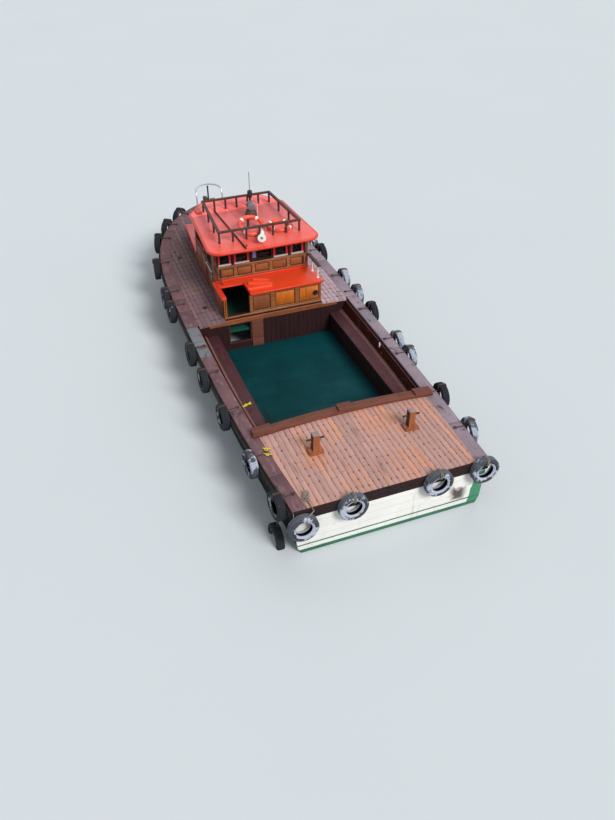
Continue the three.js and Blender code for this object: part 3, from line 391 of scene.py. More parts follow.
def painted(title, base, rough=0.4, wear=0.3, worn=None, coat=0.2, scale=6):
    """Brushed paint, worn through in places."""
    f = Finish(title, Coat_Weight=coat, Coat_Roughness=0.25)
    cloud = f.noise(2.0)
    brush = f.noise(36, (0.2, 0.2, 1.0), shift=1.0)
    chips = f.spots(0.60, 0.66, scale, detail=6, rough=0.7, shift=4.0)
    body = f.shade(base, cloud * 0.4 + brush * 0.12 + 0.74)
    body = f.blend(chips * wear, body, worn or shaded(base, 0.45))
    return f.dress(body, rough + cloud * 0.15 + chips * 0.2, brush * 0.3 - chips, 0.001)


def topsides(title):
    """Black topsides over carvel planking, a pale line at the waterline and a green bottom."""
    f = Finish(title, Specular_IOR_Level=0.1)
    sheer = 1.068 + 0.005 * (f.y + 2.7) * (f.y + 2.7)
    number, gap = f.boards(sheer - f.z, 0.15, 0.004, f.y, 3.4)
    cloud = f.noise(1.3, (1, 0.4, 1), 5)
    dust = f.spots(0.56, 0.74, 4.5, (1, 0.2, 1.5), 5, shift=2.0)
    band = f.fade(abs(f.z - 0.12), 0.035, 0.045)
    band = band * f.spots(0.30, 0.46, 7, (1, 0.3, 1), shift=6.0)
    low = f.fade(f.z, 0.055, 0.07)
    slime = low * f.spots(0.5, 0.64, 8, detail=5, shift=3.0)
    body = f.layers(
        f.shade("black", number * 0.5 + cloud * 1.2 + 0.3), (dust * 0.10, "5d6066"),
        (band, "b4b8b6"), (low, f.shade("bottom", cloud + 0.5)), (slime * 0.5, "3b4a2c"),
    )
    return f.dress(body, 0.58 + dust * 0.2 + low * 0.1, cloud * 0.4 - gap, 0.003)


def stern_paint(title):
    """White boards with grime, rust runs and damage, over a green and a white line."""
    f = Finish(title, Coat_Weight=0.1, Coat_Roughness=0.3)
    number, gap = f.boards(f.z, 0.19, 0.003)
    cloud = f.noise(1.7, detail=4)
    runs = f.spots(0.58, 0.76, 8, (1, 1, 0.14), 5, shift=3.0)
    bolts = f.spots(0.70, 0.72, 13, (1, 1, 1.6), 3, shift=6.0)
    hurt = f.noise(4.5, detail=5, shift=9.0)
    reach = f.fade(abs(f.x - 1.44), 0.06, 0.26) * f.fade(abs(f.z - 0.42), 0.10, 0.26)
    corner = f.ease(hurt + reach * 0.16, 0.60, 0.66)
    edge = f.ease(hurt + reach * 0.2, 0.54, 0.62) * reach
    ragged = f.x - f.z * 0.15 + f.noise(7, shift=2.2) * 0.10
    quarter = f.ease(ragged, 1.72, 1.74) * f.fade(f.z, 0.84, 0.90)
    lines = f.fade(abs(f.z - 0.205), 0.014, 0.018).most(f.fade(f.z, 0.085, 0.090))
    body = f.layers(
        f.shade("white", cloud * 0.25 + number * 0.06 + 0.84),
        (runs * 0.5, "b59a7a"), (bolts * 0.85, "41332c"), (corner * reach * 0.95, "2e211c"),
        (edge * (1.0 - corner) * 0.7, "rust"), (quarter, "2f7f58"),
        (lines, f.shade("bottom", cloud + 0.4)), (gap * 0.4, "776e64"),
    )
    return f.dress(body, 0.42 + runs * 0.25, cloud * 0.2 - gap - bolts * 0.3 - corner)


def floor_paint(title):
    """Dark green deck paint on wide boards, with foot wear and damp patches."""
    f = Finish(title, Specular_IOR_Level=0.1)
    number, gap = f.boards(f.y, sizes().floor_board, sizes().seam, f.x, 1.72)
    cloud = f.noise(1.1, detail=4)
    scuffs = f.spots(0.58, 0.70, 6, detail=6, rough=0.7, shift=2.0)
    body = f.shade("green", number * 0.14 + cloud * 0.9 + 0.4)
    body = f.layers(body, (scuffs * 0.25, "12454a"), (gap * 0.6, "03191a"))
    return f.dress(body, 0.70 - f.ease(cloud, 0.50, 0.66) * 0.12, -1.0 * gap - scuffs * 0.2)


def old_rubber(title, chalk_and_light, raised=0.3):
    """Old tyre rubber: chalky scuffs on what rubs, sharp edges lightened as part rub wear and part
    painted highlight, dark in the hollows.
    """
    f = Finish(title, Specular_IOR_Level=0.15)
    fine = f.noise(32, detail=5, rough=0.7, shift=2.0)
    edge = 0.95 - chalk_and_light * 0.33
    scuffs = f.ease(f.noise(4.2, detail=5, rough=0.62) + fine * 0.3, edge - 0.07, edge)
    # Sharp edges are lightened: partly rub wear, partly painted highlight.
    pointed = f.node("ShaderNodeNewGeometry", output="Pointiness")
    proud = f.ease(pointed, 0.50, 0.56) * raised
    body = f.shade(f.blend(scuffs * 0.9 + proud, "rubber", "scuff"), fine * 0.6 + 0.70)
    return f.dress(body, 0.66 + fine * 0.25, fine + scuffs * 0.2, 0.0015)


def laid_rope(title, base, dark):
    """Laid rope: slanting strands round it."""
    f = Finish(title)
    strands = abs((f.x * 90.0 + f.y * 90.0 + f.z * 120.0) % 1.0 - 0.5) * 2.0
    fuzz = f.noise(90)
    body = f.shade(f.blend(f.ease(strands, 0.55, 1.0), base, dark), fuzz * 0.6 + 0.7)
    return f.dress(body, 0.85, fuzz * 0.4 - strands, 0.0015)


def metal(title, base, stain, metallic, rough, amount=0.3):
    """Cast, drawn or painted metal with stains in its surface."""
    f = Finish(title)
    fine = f.noise(60, shift=2.0)
    marks = f.spots(0.56, 0.70, 11, detail=5, shift=5.0)
    body = f.shade(base, f.noise(5, detail=4) * 0.3 + fine * 0.1 + 0.8)
    body = f.blend(marks * amount, body, stain)
    return f.dress(body, rough + marks * 0.25 + fine * 0.08, fine - marks, 0.0008, metallic)


def pane(title):
    """Window glass whose dark colour paints the shade of the unlit cabin behind it, with patches of dust.
    """
    f = Finish(title, Coat_Weight=0.3, Alpha=0.55)
    smear = f.noise(18, (1, 1, 0.3), 4, shift=2.0)
    body = f.blend(f.spots(0.45, 0.75, 4, detail=5) * 0.35, "0d1315", "56605f")
    return f.dress(body, 0.06 + smear * 0.1, smear, 0.0003)


def ribbed_lens(title):
    """The searchlight's front glass."""
    f = Finish(title, Coat_Weight=0.8)
    ribs = abs(f.z * 55.0 % 1.0 - 0.5)
    return f.dress(f.shade("d9dcd8", f.noise(9) * 0.3 + 0.75), 0.12 + ribs * 0.05, ribs)


FINISHES = {
    "aft_deck_planks": (deck, dict(base="aft_deck", warm="aft_deck_warm", warmth=0.65, tone=0.98)),
    # The fore deck's pale colour lightens its starboard side: painted light, with the port side kept
    # darker as painted shade.
    "fore_deck_planks": (
        deck, dict(base="fore_deck", warm="7f5a4a", warmth=0.6, tone=0.98, pale="b89da4", grid=True),
    ),
    "cap_timber": (cap, {}),
    "varnish": (grained, dict(base="varnish", along="x")),
    "varnish_upright": (grained, dict(base="varnish", along="z", contrast=0.9)),
    "varnish_bright": (grained, dict(base="varnish_bright", along="z", streak=0.15, rough=0.26)),
    "varnish_dull": (grained, dict(base="84492b", along="z", streak=0.5, rough=0.45, coat=0.1)),
    "varnish_old": (grained, dict(base="8c5029", along="x", streak=0.5, rough=0.4, coat=0.2)),
    "sill_board": (grained, dict(base="8a4c2a", along="x", contrast=1.0, rough=0.4)),
    "house_side": (grained, dict(base="7c452a", along="y", contrast=0.9, streak=0.45, rough=0.42)),
    "dark_timber": (grained, dict(base="dark_wood", along="x", coat=0.1, rough=0.5)),
    # Also paints the shade on the bitts' port faces.
    "dark_upright": (grained, dict(base="3f1d18", along="z", coat=0.15, rough=0.45)),
    "rail_timber": (grained, dict(base="49342f", along="y", coat=0.05, rough=0.55, contrast=1.0)),
    "coaming": (grained, dict(base="6c3d2f", along="x", coat=0.03, rough=0.6, contrast=1.0)),
    "header": (grained, dict(base="241213", along="x", coat=0.0, rough=0.7, contrast=1.0)),
    "moulding": (grained, dict(base="7a5550", along="y", coat=0.0, rough=0.6)),
    "bench": (grained, dict(base="4a262a", along="y", coat=0.05, rough=0.6, contrast=0.9)),
    "bitt": (
        grained, dict(base="96532f", along="z", coat=0.2, rough=0.45, contrast=1.0, streak=0.6),
    ),
    "bitt_top": (grained, dict(base="9a817f", along="y", coat=0.0, rough=0.7)),
    # Also the dark strips round the panels, which paint the shade of their recesses.
    "dark_boards": (grained, dict(base="2c1416", along="z", coat=0.1, rough=0.5)),
    "strake": (
        grained, dict(base="26201f", along="y", coat=0.0, rough=0.7, contrast=1.2, streak=0.5),
    ),
    "well_side": (well_boards, {}),
    # The last number sets how much painted sky reflection each roof's top takes.
    "roof_top": (roof_paint, dict(base="roof", edge="roof_edge", sky_sheen=0.8)),
    "roof_low": (roof_paint, dict(base="roof_bright", edge="roof_edge", sky_sheen=0.15)),
    "roof_trim": (painted, dict(base="roof_edge", rough=0.35, wear=0.15, coat=0.1)),
    "sole_green": (painted, dict(base="0d4a3e", rough=0.5, wear=0.3)),
    "slat_paint": (painted, dict(base="f0502c", wear=0.3)),
    "crimson": (painted, dict(base="crimson", wear=0.25)),
    "window_sill": (painted, dict(base="b9b3b0", wear=0.4, worn="6a4a45")),
    "notice_plate": (painted, dict(base="7d89b4", rough=0.35, wear=0.2, worn="5a6694")),
    "white_plastic": (painted, dict(base="eceae4", rough=0.3, worn="8d8a86", scale=12)),
    "buoy_orange": (painted, dict(base="buoy", rough=0.35, wear=0.25, scale=14)),
    "hull": (topsides, {}),
    "transom_white": (stern_paint, {}),
    "floor_green": (floor_paint, {}),
    # The first number is partly chalked rubber and partly painted light: lower values paint shade, higher
    # ones paint light.
    "rubber": (old_rubber, dict(chalk_and_light=0.10, raised=0.05)),
    "stern_tread": (old_rubber, dict(chalk_and_light=0.52)),
    "pale_tread": (old_rubber, dict(chalk_and_light=0.86)),
    "tyre_face": (old_rubber, dict(chalk_and_light=0.70, raised=0.2)),
    "dark_face": (old_rubber, dict(chalk_and_light=0.20, raised=0.08)),
    "bead": (old_rubber, dict(chalk_and_light=1.1, raised=0.6)),
    "grey_rope": (laid_rope, dict(base="8f8377", dark="4c423b")),
    "dark_rope": (laid_rope, dict(base="4e403a", dark="211a18")),
    "yellow_rope": (laid_rope, dict(base="e2d23c", dark="8f8420")),
    "steel": (metal, dict(base="c2c7cc", stain="8d7a68", metallic=0.7, rough=0.36, amount=0.3)),
    "dark_iron": (metal, dict(base="34302f", stain="6b3a25", metallic=0.4, rough=0.5, amount=0.45)),
    "lamp_grey": (metal, dict(base="82868b", stain="5a5654", metallic=0.5, rough=0.38, amount=0.4)),
    "pedestal": (metal, dict(base="4a3a36", stain="2a1d1b", metallic=0.1, rough=0.55, amount=0.4)),
    "bronze": (metal, dict(base="a98540", stain="3f6b55", metallic=0.9, rough=0.35)),
    "engine_grey": (metal, dict(base="5f666b", stain="2a2422", metallic=0.2, rough=0.5, amount=0.45)),
    # Flat black that paints the shade inside holes and gaps.
    "black_hole": (metal, dict(base="070606", stain="141010", metallic=0.0, rough=0.7)),
    "glass": (pane, {}),
    "lens": (ribbed_lens, {}),
}


def finish(name):
    """The material of that finish, made at its first use."""
    title = f"launch_{name}"
    if title not in bpy.data.materials:
        maker, settings = FINISHES[name]
        maker(title, **settings)
    return bpy.data.materials[title]


# Mesh building

def edges_of(verts):
    inside = set(verts)
    return list({e for v in verts for e in v.link_edges if all(w in inside for w in e.verts)})


def faces_of(verts):
    inside = set(verts)
    return list({f for v in verts for f in v.link_faces if all(w in inside for w in f.verts)})


def turned_to(direction, at):
    """Places something built up the Z axis so that it points along a direction."""
    turn = Vector(direction).to_track_quat("Z", "Y").to_matrix().to_4x4()
    return Matrix.Translation(at) @ turn


def tyre_place(centre, axis):
    """Where a tyre hangs: local Z along its axis, local X straight up."""
    turn = Matrix((UP, axis.cross(UP), axis)).transposed().to_4x4()
    return Matrix.Translation(centre) @ turn


def round_the(count, radius):
    """Arms of that length, evenly spread round the Z axis."""
    turns = [2 * math.pi * i / count for i in range(count)]
    return [Vector((math.cos(turn), math.sin(turn), 0)) * radius for turn in turns]


class Shape:
    """A mesh in the making: empty, or a merged copy of the node that it will stand for."""

    def __init__(self, node=None, rounding=0, segments=2, copied=True):
        self.bm = bmesh.new()
        self.node = node
        self.place = Matrix()
        if node:
            self.low, self.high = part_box(node)
            self.middle = (self.low + self.high) / 2
        if node and copied:
            self.merge(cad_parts[node].data)
        if rounding:
            limit = math.radians(40)
            edges = [e for e in self.bm.edges if e.is_manifold and e.calc_face_angle(0) > limit]
            self.round_edges(edges, rounding, segments)

    def merge(self, mesh):
        """Copies a mesh, its loose triangles merged into whole flat faces."""
        bm = self.bm
        bm.from_mesh(mesh)
        bmesh.ops.remove_doubles(bm, verts=bm.verts, dist=1e-5)
        flat = math.radians(0.5)
        bmesh.ops.dissolve_limit(bm, angle_limit=flat, verts=bm.verts, edges=bm.edges)

    def round_edges(self, edges, offset, segments):
        bmesh.ops.bevel(
            self.bm, geom=edges, offset=offset, segments=segments, profile=0.5, affect="EDGES",
            material=-1, clamp_overlap=True,
        )

    def hang(self, normal, at):
        """Works on a wall from now on: X runs along it, Y up it and Z out of it."""
        out = Vector(normal).normalized()
        turn = Matrix((UP.cross(out), UP, out)).transposed().to_4x4()
        self.place = Matrix.Translation(at) @ turn

    def since(self, before):
        """The vertices that were added since the set before was taken."""
        return [v for v in self.bm.verts if v not in before]

    def settle(self, before, material, outward=True):
        """Gives what was added its finish and turns its faces outwards."""
        verts = self.since(before)
        faces = faces_of(verts)
        for face in faces:
            face.material_index = material
        if outward:
            bmesh.ops.recalc_face_normals(self.bm, faces=faces)
        return verts

    def block(self, low, high, edge=0.004, material=0, segments=1):
        """A board or block between two corners, its edges eased."""
        low, high = Vector(low), Vector(high)
        before = set(self.bm.verts)
        size = Matrix.Diagonal((*(high - low), 1.0))
        matrix = self.place @ Matrix.Translation((low + high) / 2) @ size
        bmesh.ops.create_cube(self.bm, size=1.0, matrix=matrix)
        verts = self.settle(before, material, outward=False)
        if edge:
            self.round_edges(edges_of(verts), edge, segments)

    def boards(self, corners, proud, material=0, edge=0.004, segments=1):
        """Boards on a wall, each between two (along, up) corners."""
        for x0, z0, x1, z1 in corners:
            self.block((x0, z0, 0), (x1, z1, proud), edge, material, segments)

    def bar(self, start, end, radius, sides=12, tip=None, material=0):
        """A round bar between two points, tapered if its tip has a radius of its own."""
        start, end = self.place @ Vector(start), self.place @ Vector(end)
        before = set(self.bm.verts)
        bmesh.ops.create_cone(
            self.bm, cap_ends=True, segments=sides, radius1=radius,
            radius2=radius if tip is None else tip, depth=(end - start).length,
            matrix=turned_to(end - start, (start + end) / 2),
        )
        self.settle(before, material, outward=False)

    def upright(self, x, y, z0, z1, radius, sides, tip=None, material=0):
        self.bar((x, y, z0), (x, y, z1), radius, sides, tip, material)

    def turned(self, profile, at, steps=24, material=0, closed=False):
        """A turned shape: a profile of (radius, height) points spun about the Z axis."""
        before = set(self.bm.verts)
        chain = [self.bm.verts.new((radius, 0, height)) for radius, height in profile]
        pairs = list(zip(chain, chain[1:]))
        if closed:
            pairs.append((chain[-1], chain[0]))
        self.spin(chain + [self.bm.edges.new(pair) for pair in pairs], 2 * math.pi, steps)
        bmesh.ops.remove_doubles(self.bm, verts=self.since(before), dist=1e-5)
        verts = self.settle(before, material)
        bmesh.ops.transform(self.bm, matrix=self.place @ at, verts=verts)
        return verts

    def spin(self, outline, angle, steps):
        bmesh.ops.spin(
            self.bm, geom=outline, cent=(0, 0, 0), axis=(0, 0, 1), angle=angle, steps=steps,
            use_merge=angle > 6.28,
        )

    def ring(self, radius, tube, at, steps=36, sides=12, start=0.0, turn=2 * math.pi, material=0):
        """A ring, or a stretch of one, about the Z axis of its place."""
        before = set(self.bm.verts)
        upright = Matrix.Translation((radius, 0, 0)) @ Matrix.Rotation(math.pi / 2, 4, "X")
        made = bmesh.ops.create_circle(self.bm, segments=sides, radius=tube, matrix=upright)
        self.spin(made["verts"] + edges_of(made["verts"]), turn, steps)
        verts = self.settle(before, material)
        if not isinstance(at, Matrix):
            at = Matrix.Translation(at)
        matrix = self.place @ at @ Matrix.Rotation(start, 4, "Z")
        bmesh.ops.transform(self.bm, matrix=matrix, verts=verts)

    def extruded(self, edges):
        """The edges and the vertices of a ring drawn out of those edges."""
        made = bmesh.ops.extrude_edge_only(self.bm, edges=edges)["geom"]
        kinds = (bmesh.types.BMEdge, bmesh.types.BMVert)
        return [[g for g in made if isinstance(g, kind)] for kind in kinds]

    def rod(self, points, radius, sides=8, closed=False, material=0):
        """A round rod or rope along a list of points: a ring extruded from one to the next."""
        points = [Vector(p) for p in points]
        count = len(points)
        before = set(self.bm.verts)
        ring = bmesh.ops.create_circle(self.bm, segments=sides, radius=radius)["verts"]
        first = edges = edges_of(ring)

        def heading(i):
            ahead = points[(i + 1) % count] if closed else points[min(i + 1, count - 1)]
            behind = points[i - 1] if closed or i else points[0]
            return (ahead - behind).normalized()

        bmesh.ops.transform(self.bm, matrix=turned_to(heading(0), points[0]), verts=ring)
        for i in range(1, count):
            edges, verts = self.extruded(edges)
            swing = heading(i - 1).rotation_difference(heading(i)).to_matrix().to_4x4()
            back = Matrix.Translation(-points[i - 1])
            matrix = Matrix.Translation(points[i]) @ swing @ back
            bmesh.ops.transform(self.bm, matrix=matrix, verts=verts)
        if closed:
            bmesh.ops.bridge_loops(self.bm, edges=first + edges)
        else:
            bmesh.ops.holes_fill(self.bm, edges=first + edges, sides=sides)
        self.settle(before, material)

    def strip(self, stations, material=0):
        """A timber through sections of four (x, y, z) corners, from one station to the next."""
        before = set(self.bm.verts)
        section = [self.bm.verts.new(p) for p in stations[0]]
        first = [self.bm.edges.new((section[i], section[(i + 1) % 4])) for i in range(4)]
        edges = first
        for corners in stations[1:]:
            edges, ring = self.extruded(edges)
            for i, corner in enumerate(corners):
                old = section[i]
                section[i] = next(v for v in ring if old in [e.other_vert(v) for e in v.link_edges])
                section[i].co = corner
        bmesh.ops.holes_fill(self.bm, edges=first + edges, sides=4)
        self.settle(before, material)

    def panel(self, x0, z0, x1, z1, field=0.030, rise=0.018, material=0, gap=0):
        """A raised panel on a wall between two (along, up) corners, set in a strip of the gap finish: a
        dark strip that paints the shade of the recess round it.
        """
        before = set(self.bm.verts)
        self.block((x0, z0, -0.002), (x1, z1, 0.003), 0, gap)
        out = self.place.to_3x3() @ UP
        self.bm.normal_update()
        front = [f for f in faces_of(self.since(before)) if f.normal.dot(out) > 0.9]
        inset = bmesh.ops.inset_region
        # The first ring keeps the gap finish: painted shade round the panel's edge.
        inset(self.bm, faces=front, thickness=0.018, depth=0, use_even_offset=True)
        sides = inset(self.bm, faces=front, thickness=field, depth=rise)["faces"]
        for face in front + sides:
            face.material_index = material

    def casing(self, x0, z0, x1, z1, width, proud, material=0, sill=None):
        """Four boards round an opening, the lowest of them as a sill if it has a finish."""
        left, right = x0 - width, x1 + width
        around = [(left, z0, x0, z1), (x1, z0, right, z1), (left, z1, right, z1 + width)]
        self.boards(around, proud, material)
        if sill is None:
            self.boards([(left, z0 - width * 0.8, right, z0)], proud, material)
        else:
            self.boards([(left, z0 - width * 0.8, right, z0)], proud + 0.018, sill)

    def tyre(self, place, turn=0):
        """A tyre about the Z axis of its place, hollow inside, with blocks on its tread."""
        s = sizes()
        outer, bore, half = s.tyre_radius, s.tyre_bore, s.tyre_half
        tread, wall = half - 0.022, outer - 0.024
        front = [
            (outer, tread), (wall + 0.012, half - 0.006), (wall - 0.03, half),
            (bore + 0.045, half - 0.006), (bore + 0.012, half - 0.016), (bore, half - 0.026),
            (bore + 0.004, half - 0.040), (bore + 0.03, half - 0.034), (wall - 0.02, half - 0.026),
        ]
        crown = [(outer + 0.002, -tread * 0.34), (outer + 0.002, tread * 0.34)]
        back = [(radius, -z) for radius, z in reversed(front)]
        profile = [back.pop(), *crown, *front, (outer - 0.022, 0.0), *back]
        spun = place @ Matrix.Rotation(turn * 0.37, 4, "Z")
        verts = self.turned(profile, spun, s.tread_blocks, closed=True)
        rows, home = [], spun.inverted()
        for face in faces_of(verts):
            middle = home @ face.calc_center_median()
            radius = math.hypot(middle.x, middle.y)
            if radius > outer - 0.006:
                rows.append(face)
            elif abs(middle.z) > half - 0.045 and radius < bore + 0.030:
                face.material_index = BEAD
            else:
                face.material_index = FACE if abs(middle.z) > half - 0.022 else HOLLOW
        bmesh.ops.inset_individual(self.bm, faces=rows, thickness=0.005, depth=0.007)

    def sling(self, place):
        """A rope slung twice round the top of a tyre."""
        s = sizes()
        inner, outer, side = s.tyre_bore - 0.010, s.tyre_radius + 0.014, s.tyre_half + 0.008
        loop = [
            (inner, side * 0.8), (inner, -side * 0.8), (inner + 0.03, -side),
            (outer - 0.03, -side), (outer, -side * 0.7), (outer, side * 0.7),
            (outer - 0.03, side), (inner + 0.03, side),
        ]
        for shift in (-0.016, 0.012):
            points = [place @ Vector((x, shift, z)) for x, z in loop]
            self.rod(points, s.rope / 2, closed=True, material=ROPE)

    def groove(self, point, across, half=None, depth=None):
        """Cuts a V-shaped seam into the upper faces along a plane."""
        half = sizes().seam if half is None else half
        depth = sizes().seam_depth if depth is None else depth
        point, across = Vector(point), Vector(across).normalized()
        for step in (-half, 0, half):
            bmesh.ops.bisect_plane(
                self.bm, geom=self.bm.verts[:] + self.bm.edges[:] + self.bm.faces[:], dist=1e-6,
                plane_co=point + across * step, plane_no=across,
            )
        self.bm.normal_update()
        for vert in self.bm.verts:
            if abs((vert.co - point).dot(across)) < 1e-5 and vert.normal.z > 0.3:
                vert.co.z -= depth

    def mirror(self):
        """Turns the whole mesh into its mirror image to port."""
        bmesh.ops.scale(self.bm, vec=(-1, 1, 1), verts=self.bm.verts)
        bmesh.ops.reverse_faces(self.bm, faces=self.bm.faces)

    def make(self, name, finishes, slot, body="root", smooth=35):
        """Makes the finished piece: its finishes, its body and the node it stands for."""
        mesh = bpy.data.meshes.new(name)
        self.bm.to_mesh(mesh)
        self.bm.free()
        for finish_name in finishes.split():
            mesh.materials.append(finish(finish_name))
        mesh.shade_smooth()
        mesh.set_sharp_from_angle(angle=math.radians(smooth))
        piece = bpy.data.objects.new(name, mesh)
        bpy.context.scene.collection.objects.link(piece)
        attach(piece, body)
        if self.node:
            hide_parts(self.node)


def refine(node, name, finishes, slot, rounding, body="root", smooth=35, segments=2):
    """A copy of a node with its edges eased, which stands for it."""
    Shape(node, rounding, segments).make(name, finishes, slot, body, smooth)


# The deck's edge

def edge_stations():
    """The deck's outer edge to starboard, stern to bow, as (y, x, z), from the frame."""
    edge = {}
    for node in ("starboard_gunwale_cap", "starboard_covering_board"):
        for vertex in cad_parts[node].data.vertices:
            x, y, z = vertex.co
            place = round(y, 3)
            if place not in edge or x + z > sum(edge[place]):
                edge[place] = (x, z)
    return [(y, *edge[y]) for y in sorted(edge)]


EDGE = edge_stations()
CAP_OVERHANG = 0.02
CROWN = 0.06
STERN_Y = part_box("starboard_gunwale_cap")[0].y
FLOOR_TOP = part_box("cargo_floor")[1].z
ROOF_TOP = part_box("wheelhouse_roof")[1].z
BOARD_FOOT = FLOOR_TOP + 0.004
HOUSE_HALF = 1.25
# The order of a fender's finishes, after its tread.
FACE, HOLLOW, STRAKE, ROPE, BEAD = range(1, 6)


def edge_at(y):
    """Half beam and sheer height at a place along the hull."""
    i = min(max(bisect.bisect_right(EDGE, (y, 9, 9)) - 1, 0), len(EDGE) - 2)
    (y0, x0, z0), (y1, x1, z1) = EDGE[i], EDGE[i + 1]
    share = min(max((y - y0) / (y1 - y0), 0), 1) if y1 > y0 else 0
    return x0 + (x1 - x0) * share - CAP_OVERHANG, z0 + (z1 - z0) * share


def stations_between(y0, y1):
    return [y0] + [y for y, _, _ in EDGE if y0 + 0.01 < y < y1 - 0.01] + [y1]


def heading_at(y):
    """How far the hull's side is turned from fore and aft, in radians."""
    reach = 0.06
    return math.atan2(edge_at(y - reach)[0] - edge_at(y + reach)[0], 2 * reach)


def deck_top(x, y):
    """The deck's height at a place, with its crown."""
    half, sheer = edge_at(y)
    return sheer + CROWN * (1 - (x / max(half, 0.1)) ** 2)


# Operators

class LaunchOperator:
    """What the operators share."""

    bl_options = {"REGISTER", "UNDO"}


class LAUNCH_OT_hull(LaunchOperator, bpy.types.Operator):
    """Finishes the hull, its backbone and the stern"""

    bl_idname = "launch.hull"
    bl_label = "Hull and stern"

    def execute(self, context):
        Shape("hull").make("hull_planking", "hull", "hull_paint", smooth=32)
        refine("keel", "keel_timber", "hull", "hull_paint", 0.012)
        refine("stem", "stem_timber", "dark_timber", "dark_wood", 0.012)
        refine("transom", "transom_boards", "transom_white", "white_paint", 0.006)
        self.header()
        return {"FINISHED"}

    def header(self):
        header = Shape("transom_header", 0.012)
        low, high = header.low, header.high
        for i in range(9):
            x = low.x + 0.25 + i * (high.x - low.x - 0.5) / 8
            y, z = low.y + 0.004, header.middle.z - 0.045 + 0.09 * (i % 2)
            header.bar((x, y, z), (x, y - 0.012, z), 0.012, 8, 0.008, 1)
        header.make("stern_header", "header dark_iron", "dark_wood")


class LAUNCH_OT_decks(LaunchOperator, bpy.types.Operator):
    """Lays the planks of the decks, the covering boards and the gunwale caps"""

    bl_idname = "launch.decks"
    bl_label = "Decks and gunwales"

    joints = {
        "starboard_gunwale_cap": (-5.55, -2.61, -0.46),
        "port_gunwale_cap": (-5.75, -3.44, -1.80, -0.76),
        "starboard_covering_board": (1.41, 2.20, 3.3, 4.5, 5.7),
        "port_covering_board": (0.9, 1.52, 2.24, 2.96, 3.74, 5.20, 5.88),
    }

    def execute(self, context):
        self.planked("aft_deck")
        self.planked("fore_deck")
        for node, ys in self.joints.items():
            self.timber(node, ys)
        self.aft_edge()
        self.fastenings()
        return {"FINISHED"}

    def planked(self, node):
        planks = Shape(node)
        width = sizes().deck_plank
        count = int(planks.high.x / width)
        for i in range(-count, count + 1):
            planks.groove((i * width, 0, 0), (1, 0, 0))
        planks.make(f"{node}_planking", f"{node}_planks", "deck_planks", smooth=25)

    def timber(self, node, ys):
        timber = Shape(node, sizes().edge)
        sign = SIDES[node.split("_")[0]]
        for y in ys:
            angle = heading_at(y) * sign
            across = (math.sin(-angle), math.cos(angle), 0)
            timber.groove((edge_at(y)[0] * sign, y, 0), across, 0.006, 0.009)
        timber.make(f"{node}_timber", "cap_timber", "cap_wood")

    def aft_edge(self):
        """A weathered plank across the aft edge of the deck, with dark bolts through it."""
        low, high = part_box("aft_deck")
        reach, y, z = high.x - 0.01, low.y, low.z + 0.06
        plank = Shape()
        plank.block((-reach, y - 0.03, z - 0.005), (reach, y + 0.16, z + 0.012), 0.006)
        for x in (-1.2, -0.35, -0.07, 0.36, 1.24):
            plank.upright(x, y + 0.22, z, z + 0.030, 0.024, 8, 0.016, 1)
        plank.make("aft_edge_plank", "bitt_top dark_iron", "cap_wood")

    def fastenings(self):
        """Filler plates in the port deck and bolt heads along the covering boards."""
        iron = Shape()
        for x, y in ((-1.60, 3.62), (-1.62, 0.86)):
            top = deck_top(x, y)
            iron.upright(x, y, 1.10, top + 0.008, 0.055, 16)
            iron.upright(x, y, 1.10, top + 0.014, 0.018, 8)
        for sign in SIDES.values():
            for i in range(32):
                y = STERN_Y + 0.35 + i * 0.40
                half, sheer = edge_at(y)
                if half > 0.6:
                    iron.upright(sign * (half - 0.10), y, sheer - 0.02, sheer + 0.006, 0.014, 8, 0.008)
        iron.make("deck_fastenings", "dark_iron", "dark_iron")


